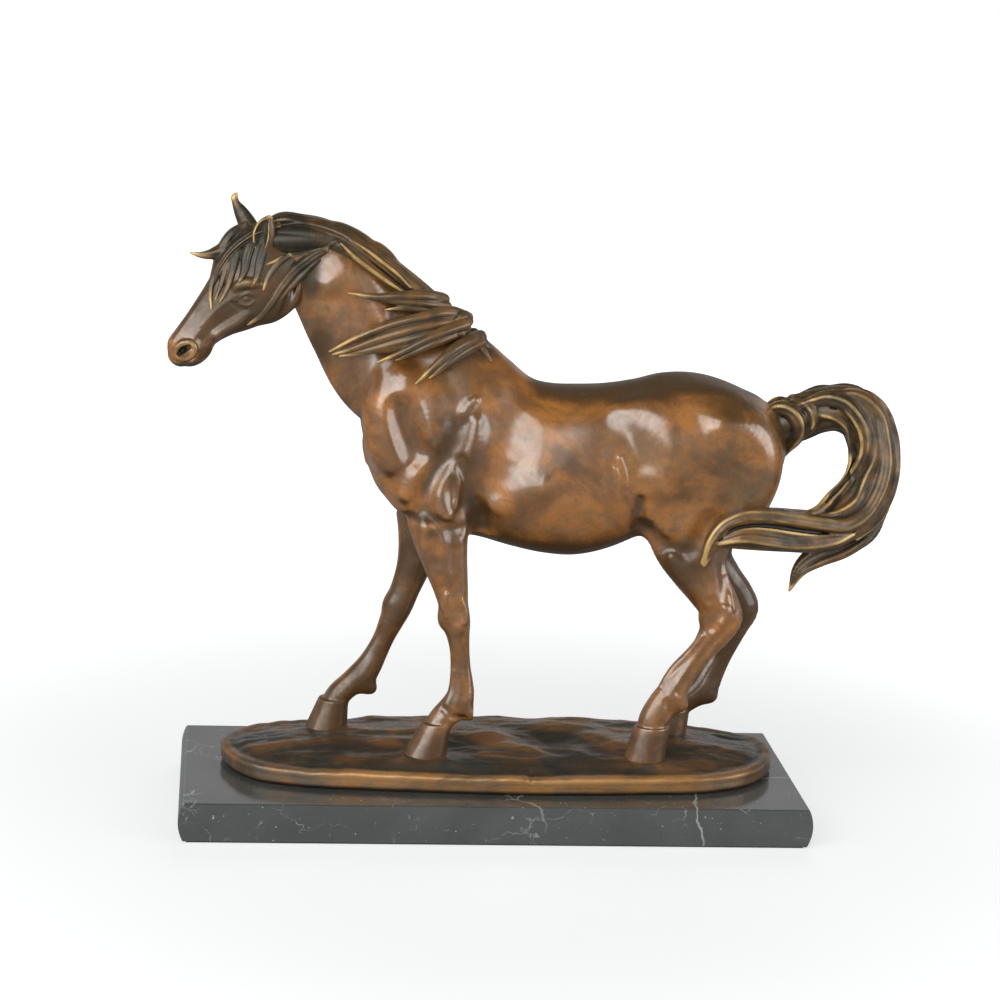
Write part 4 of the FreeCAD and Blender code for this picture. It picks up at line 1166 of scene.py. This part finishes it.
# Painted shade in the eye's socket, its lid folds and corners, and in the nostril, as on_face has them: x,
# out, z, the radii along X and Z, and how dark.
FACE_SHADE = [
    (-162, 13, 319.6, 6, 4.4, 0.85),       # socket
    (-161.5, 13, 325.2, 6, 1.1, 1.35),     # fold over the upper lid
    (-162, 13, 313.8, 5, 1.1, 1.3),        # fold under the lower lid
    (-167.2, 13, 317.8, 1.8, 1.4, 1.4),    # inner corner
    (-156.6, 13, 319.6, 1.2, 1.2, 1.3),    # outer corner
    (-196.6, 8, 287.6, 3.4, 3.2, 1.6),     # nostril
]


def face_places(rows):
    """Rows of x, out, z, two radii and an amount as places on both sides of the head."""
    places = []
    for x, out, z, rx, rz, amount in rows:
        places += [(*on_face(x, out, z, side), rx, 6, rz, amount) for side in (-1, 1)]
    return places


# Where the head is darker: its patina overall, painted shade under the forelock and the cheek bone, and the
# face's painted shade round the eye and in the nostril: x, y, z, three radii and how dark.
HEAD_PATINA_AND_SHADE = [
    (-160, -12, 314, 54, 40, 34, 0.78),
    (-184, -16, 314, 20, 30, 26, 0.68),
    (-156, -14, 342, 22, 22, 14, 1.0),     # painted shade on the forehead, under the forelock
    (-170, -14, 330, 12, 20, 12, 0.75),
    (-135, -12, 340, 14, 24, 22, 1.0),     # behind the eye
    (-136, -16, 318, 8, 16, 14, 0.7),      # back of the cheek
    (-150, -22, 334, 10, 10, 8, 0.9),
    (-178, -20, 286, 12, 12, 6, 0.8),      # chin and mouth
    (-168, -22, 300, 12, 8, 5, 0.75),      # painted shade under the cheek bone
    (-190, -20, 278, 9, 12, 5, 0.8),
] + face_places(FACE_SHADE)
HEAD_WORN = [
    (-203, -17, 294, 5, 8, 7, 0.8),        # end of the nose
    (-191, -25, 291.5, 4, 6, 3, 0.55),     # rim of the nostril
    (-160, -22, 329, 6, 8, 2.6, 0.32),     # brow
]
EAR_DARK = [(-151, -16, 354, 7, 8, 12, 0.8), (-160, 9, 364, 14, 10, 16, 0.9)]
MANE_DARK = [(-132, -8, 352, 30, 30, 24, 1.0), (-104, -10, 352, 14, 20, 12, 0.6)]
TAIL_DARK = [(205, -10, 240, 80, 50, 70, 0.6), (196, -8, 250, 18, 16, 12, 0.6),
             (176, -40, 184, 60, 20, 9, 0.6), (226, -10, 186, 30, 30, 16, 0.6),
             (168, -4, 250, 9, 14, 20, 0.6), (230, -14, 232, 26, 40, 34, 0.5)]


def cast_body():
    """Torso, neck and legs, all cut from the same clay so that they meet."""
    trunk = trunk_forms()
    guide = Clay((-125, -60, 58), (190, 60, 390), 1.8, trunk)
    forms = trunk + muscle_forms(guide) + limb_forms(guide) + hoof_forms()
    legs = [leg_region(name) for name in LEGS]
    cast("torso_skin", "body_bronze", ["torso_casting", "core_plugs"], (-100, -56, 140), (182, 56, 320), 0.95,
         forms, keep=[NECK_CUT], drop=legs, dark=BODY_PATINA_AND_SHADE, gold=0.1)
    cast("neck_skin", "body_bronze", ["neck_casting"], (-150, -40, 200), (20, 40, 372), 0.95, forms,
         keep=[NECK_SIDE], dark=BODY_PATINA_AND_SHADE, gold=0.1)
    for name in LEGS:
        front, back, top = (-120, -12, 176) if "fore" in name else (78, 182, 228)
        near, far = (0, 54) if "right" in name else (-54, 0)
        cast(name + "_skin", "body_bronze", [name], (front, near, 36), (back, far, top), 0.8, forms,
             keep=leg_region(name), dark=BODY_PATINA_AND_SHADE, gold=0.08)


def cast_hair(name, node, low, high, voxel, forms, **marks):
    """A piece with the hair's patina, in the place of one CAD node."""
    cast(name, "hair_bronze", [node], low, high, voxel, forms, **marks)


def cast_head():
    """Head, ears, forelock and the locks on the cheek."""
    forms = head_forms()
    cast("head_skin", "body_bronze", ["head_casting"], (-215, -42, 262), (-115, 28, 375), 0.5, forms,
         dark=HEAD_PATINA_AND_SHADE, worn=HEAD_WORN, gold=0.1)
    guide = Clay((-215, -42, 262), (-95, 28, 385), 1.5, forms + [("add", Limb(NECK), 8)])
    cast_hair("forelock_hair", "forelock", (-200, -36, 300), (-135, 20, 372), 0.5, forelock_forms(guide),
              dark=[(-160, -10, 345, 30, 30, 30, 0.9)], gold=0.4,
              worn=[(-190, -10, 344, 8, 8, 5, 1.6), (-180, -20, 318, 6, 10, 8, 1.3)])
    cast_hair("cheek_lock_hair", "cheek_lock", (-164, -40, 296), (-106, 0, 356), 0.45,
              cheek_lock_forms(guide), dark=[(-124, -18, 342, 22, 20, 16, 0.8)], gold=0.7)
    for name, x, y, z in (("ear_left", -172, -24, 340), ("ear_right", -172, 0, 345)):
        cast_hair(name + "_skin", name, (x, y, z), (x + 36, y + 20, 380), 0.4, EARS[name],
                  dark=EAR_DARK, gold=1.3)


def cast_mane():
    """The crest and the blown locks, each in a box that fits its strands."""
    cast_hair("mane_crest_hair", "mane_crest", (-156, -30, 288), (-12, 22, 374), 0.55, crest_forms(),
              dark=MANE_DARK, gold=0.8)
    room = 8
    for name, strands in BLOWN_LOCKS.items():
        points = np.concatenate(strands)[:, :3]
        low, high = points.min(axis=0) - room, points.max(axis=0) + room
        cast_hair(name + "_hair", name, low, high, 0.45, blown_lock_forms(name), gold=0.9)


def cast_tail():
    """The tail and the lock below it."""
    cast_hair("tail_hair", "tail_casting", (112, -60, 158), (252, 24, 284), 0.65, tail_forms(),
              dark=TAIL_DARK, gold=1.4)
    cast_hair("tail_lower_lock_hair", "tail_lower_lock", (172, -32, 138), (252, 6, 210), 0.5,
              lower_lock_forms(), dark=TAIL_DARK, gold=1.0)


# ---------------------------------------------------------------- ground
GROUND_OUTLINE = [
    (-166, 10), (-161, -12), (-147, -33), (-120, -44), (-80, -49), (-30, -53), (30, -55), (90, -52),
    (130, -48), (156, -36), (173, -15), (179, 10), (172, 35), (147, 52), (100, 57), (30, 58),
    (-40, 57), (-105, 55), (-145, 45), (-160, 30),
]
# Hummocks and hollows: x, y, height, and the spread along X and along Y.
HUMMOCKS = [
    (-2, -4, 3.6, 15, 12), (16, -20, 2.2, 16, 8), (39, 24, 3.2, 15, 9), (60, 20, 2.4, 14, 8),
    (70, 4, 3, 13, 10), (84, -12, 2.2, 14, 9), (36, -2, -4, 18, 13), (-20, -14, -2.6, 13, 12),
    (-56, -10, 2.2, 20, 8), (-24, 20, 1.6, 24, 8), (60, -38, -1.2, 26, 10), (100, -38, 1.4, 18, 8),
    (130, -4, 1.6, 24, 8), (146, 22, -1.4, 18, 10), (-70, 14, 1.4, 26, 8), (-88, -20, -1.2, 30, 9),
    (-100, 24, 1.6, 22, 22), (-126, -8, 1, 22, 9), (116, 24, 1.4, 20, 20), (-60, 46, 3.6, 46, 12),
    (72, 46, 3.8, 54, 12), (4, 42, 1.4, 18, 10),
]
# The side's section: how far out from the outline, and how high.
LIP = [(-4, 25), (-1.2, 25.1), (-0.9, 26.2), (0.6, 27), (1.1, 28.6), (0.7, 30.6), (0.9, 32.6), (1.2, 34.4),
       (0.5, 35.9), (-1.3, 36.6), (-3.6, 36.5), (-5.8, 36.1)]
GROUND_MIDDLE = (6, 3)              # the middle of the dome
GROUND_HALF = (172, 54)             # its half length and half depth
RIM_Z, DOME_RISE = 36, 9
MIDDLE_LINE = (-112, 122)           # the ends of the line along X on which the rings close
LIP_FOOT, LIP_RISE = 25, 12         # the lip's lowest point, on the plinth, and its height
SEAM_X = 20                         # where the casting's seam crosses the near side of the lip
LOOP_POINTS, TOP_RINGS = 520, 60


def smooth_loop(knots, count):
    """Evenly counted points round a smooth closed curve through the knots."""
    knots = np.array(knots, float)
    wrapped = np.concatenate([knots[-3:], knots, knots[:3]])
    along = distances(wrapped)
    at = np.linspace(along[3], along[3 + len(knots)], count, endpoint=False)
    return np.stack([smooth_line(at, along, column) for column in wrapped.T], axis=1)


def dome(x, y):
    """The same low dome as in the CAD."""
    along, across = [(v - middle) / half for v, middle, half in zip((x, y), GROUND_MIDDLE, GROUND_HALF)]
    return RIM_Z + DOME_RISE * np.maximum(0, 1 - along ** 2 - across ** 2) ** 0.6


def ground_height(x, y):
    """The dome with finer folds pressed into it."""
    height = dome(x, y)
    for hx, hy, lift, sx, sy in HUMMOCKS:
        height = height + lift * np.exp(-((x - hx) / sx) ** 2 - ((y - hy) / sy) ** 2)
    return height


def ground_rings():
    """The cast ground as rings of points: the lip, then inwards over the top to its middle line."""
    loop = smooth_loop(GROUND_OUTLINE, LOOP_POINTS)
    along = np.roll(loop, -1, axis=0) - np.roll(loop, 1, axis=0)
    out = np.stack([-along[:, 1], along[:, 0]], axis=1) / np.hypot(*along.T)[:, None]
    middle = np.stack([np.clip(loop[:, 0], *MIDDLE_LINE), np.full(len(loop), GROUND_MIDDLE[1])], axis=1)
    if np.mean(((loop - middle) * out).sum(axis=1)) < 0:
        out = -out
    slow = np.array([noise.noise(Vector((*(spot * 0.035), 1.7))) for spot in loop])
    quick = np.array([noise.noise(Vector((*(spot * 0.11), 4.2))) for spot in loop])
    waver = slow + 0.5 * quick
    waver -= 0.9 * np.exp(-((loop[:, 0] - SEAM_X) / 1.4) ** 2) * (loop[:, 1] < 0)
    rings = []
    for reach, z in LIP:
        shift = waver * (z - LIP_FOOT) / LIP_RISE
        rings.append(np.column_stack([loop + out * (reach + 0.9 * shift)[:, None], z + 1.1 * shift]))
    edge = rings[-1]
    for step in range(1, TOP_RINGS + 1):
        share = step / TOP_RINGS
        ring = edge[:, :2] * (1 - share) + middle * share
        places = [Vector((x * 0.028, y * 0.07, 0.3)) for x, y in ring]
        rough = np.array([noise.ridged_multi_fractal(place, 1.0, 2.1, 3, 1.0, 2.0) for place in places])
        blend = step_up(share, 0.0, 0.16)
        z = ground_height(*ring.T) + rough - 1.2
        rings.append(np.column_stack([ring, edge[:, 2] * (1 - blend) + z * blend]))
    return loop, rings


def ring_mesh(name, rings):
    """Faces between each ring and the next, and one across the first ring, with doubled points merged."""
    count = len(rings[0])
    faces = []
    for start in range(0, (len(rings) - 1) * count, count):
        sides = [(start + i, start + (i + 1) % count) for i in range(count)]
        faces += [(a, b, b + count, a + count) for a, b in sides]
    faces.append(tuple(range(count - 1, -1, -1)))
    mesh = bpy.data.meshes.new(name)
    mesh.from_pydata((np.concatenate(rings) * MM).tolist(), [], faces)
    mesh.validate()
    bm = bmesh.new()
    bm.from_mesh(mesh)
    bmesh.ops.remove_doubles(bm, verts=bm.verts, dist=0.02 * MM)
    bmesh.ops.recalc_face_normals(bm, faces=bm.faces)
    bm.to_mesh(mesh)
    bm.free()
    mesh.shade_smooth()
    return mesh


def cast_ground():
    """The ground, dark in its folds, with painted shade at its foot where it meets the plinth, and worn to
    gold along the near side of its lip.
    """
    loop, rings = ground_rings()
    mesh = ring_mesh("ground_bronze_top", rings)
    points = points_of(mesh)
    x, y, z = points.T
    within = np.array([np.hypot(*(loop - point[:2]).T).min() for point in points])
    write_value(mesh, "fine", np.where(within > 5, (z - dome(x, y) - 1.2) * 0.42, 0))
    # The tone holds painted shade along the lip's foot, where it meets the plinth, and a darker patina
    # towards the right end.
    write_value(mesh, "tone", np.maximum(step_up(27.6 - z, 0, 1.2), 0.62 * step_up(x, 70, 150)))
    front = 0.12 + 0.88 * step_up(-y, 10, 44) * step_up(-np.abs(x - 20), -165, -90)
    edge = 0.45 + 0.55 * step_up(z, 31, 35)
    write_value(mesh, "gold", front * edge * step_up(8 - within, 0, 4) * step_up(z, 26.6, 28.2))
    show("ground_skin", mesh, "ground_bronze", ["ground_casting"])


def finish_cad_pieces():
    """Materials for the CAD pieces, and an even patina on those of bronze."""
    for entry in frame["record"]["subparts"]:
        mesh = frame["nodes"][entry["node"]].data
        mesh.materials.clear()
        mesh.materials.append(SLOTS[entry["material_slot"]])
        if entry["material_slot"] in ("body_bronze", "hair_bronze", "ground_bronze"):
            for label, level in (("fine", 0.0), ("broad", 0.0), ("tone", 0.3), ("gold", 0.5)):
                write_value(mesh, label, np.full(len(mesh.vertices), level))


cast_body()
cast_head()
cast_mane()
cast_tail()
cast_ground()
finish_cad_pieces()

# ---------------------------------------------------------------- camera and light
CAMERA_PLACE = (-174.9, -1600.8, 570.9)
CAMERA_YAW, CAMERA_PITCH, CAMERA_ROLL = 6.204, 13.091, 2.726
LENS, SENSOR_WIDTH = 97.24, 36
VIEW_END = 20       # metres, past the floor's far corner
FLOOR_SIZE = 12     # metres


def aim_camera():
    """The photo's camera: its turn is yaw about Z, then pitch, then roll about its own axis, in degrees."""
    data = bpy.data.cameras.new("camera")
    data.sensor_width = SENSOR_WIDTH
    data.lens = LENS
    data.clip_end = VIEW_END
    camera = bpy.data.objects.new("camera", data)
    camera.location = Vector(CAMERA_PLACE) * MM
    turn = Matrix.Rotation(math.radians(-CAMERA_YAW), 3, "Z")
    turn = turn @ Matrix.Rotation(math.radians(90 - CAMERA_PITCH), 3, "X")
    turn = turn @ Matrix.Rotation(math.radians(CAMERA_ROLL), 3, "Z")
    camera.rotation_euler = turn.to_euler()
    bpy.context.scene.collection.objects.link(camera)
    bpy.context.scene.camera = camera


def floor_look():
    """Plain pale floor that turns to the white of the room away from the object."""
    look = Look("floor_white", Base_Color=(0.30, 0.30, 0.30), Roughness=0.9)
    away = look.node("VectorMath", {0: look.place}, operation="LENGTH")["Value"]
    seen = look.node("LightPath", {})["Is Camera Ray"]
    look.set("Emission Color", (1.0, 1.0, 1.0))
    look.set("Emission Strength", look.times(look.ramp(away, 0.2, 0.8, 0.62, 1.0), seen))
    return look.material


def lay_floor():
    """The floor belongs to the picture and not to the object."""
    bpy.ops.mesh.primitive_plane_add(size=FLOOR_SIZE)
    floor = bpy.context.object
    floor.name = "floor"
    floor.data.materials.append(floor_look())


def light_room(seen, low, high, diffuse):
    """White for the camera; what the bronze reflects is bright near the floor and dim overhead.
    Of that light, diffuse is the share that falls on rough surfaces."""
    world = bpy.data.worlds.new("room")
    world.use_nodes = True
    room = Wiring(world.node_tree)
    direction = room.node("TexCoord", {})["Generated"]
    height = room.node("SeparateXYZ", {"Vector": direction})["Z"]
    path = room.node("LightPath", {})
    share = room.between(path["Is Diffuse Ray"], 1.0, diffuse)
    unseen = room.times(room.ramp(height, 0.32, 0.52, low, high), share)
    background = room.tree.nodes["Background"].inputs
    room.plug((1.0, 1.0, 1.0), background["Color"])
    room.plug(room.between(path["Is Camera Ray"], unseen, seen), background["Strength"])
    bpy.context.scene.world = world


def softbox(name, place, width, height, power):
    """A soft lamp of daylight white, aimed at the middle of the object."""
    data = bpy.data.lights.new(name, "AREA")
    data.shape = "RECTANGLE"
    data.size = width
    data.size_y = height
    data.energy = power
    data.color = (0.96, 1.0, 1.0)
    lamp = bpy.data.objects.new(name, data)
    lamp.location = place
    lamp.rotation_euler = (Vector((0, 0, 0.2)) - Vector(place)).to_track_quat("-Z", "Y").to_euler()
    bpy.context.scene.collection.objects.link(lamp)
    return lamp


aim_camera()
lay_floor()
light_room(1.0, 0.52, 0.09, 0.6)
softbox("left_box", (-1.0, -1.35, 1.1), 2.5, 1.8, 57)
softbox("right_box", (1.7, -0.8, 0.65), 1.3, 1.4, 20)
softbox("back_box", (0.6, 1.8, 1.3), 1.6, 1.2, 22).visible_glossy = False
bpy.context.scene.view_settings.view_transform = "Standard"
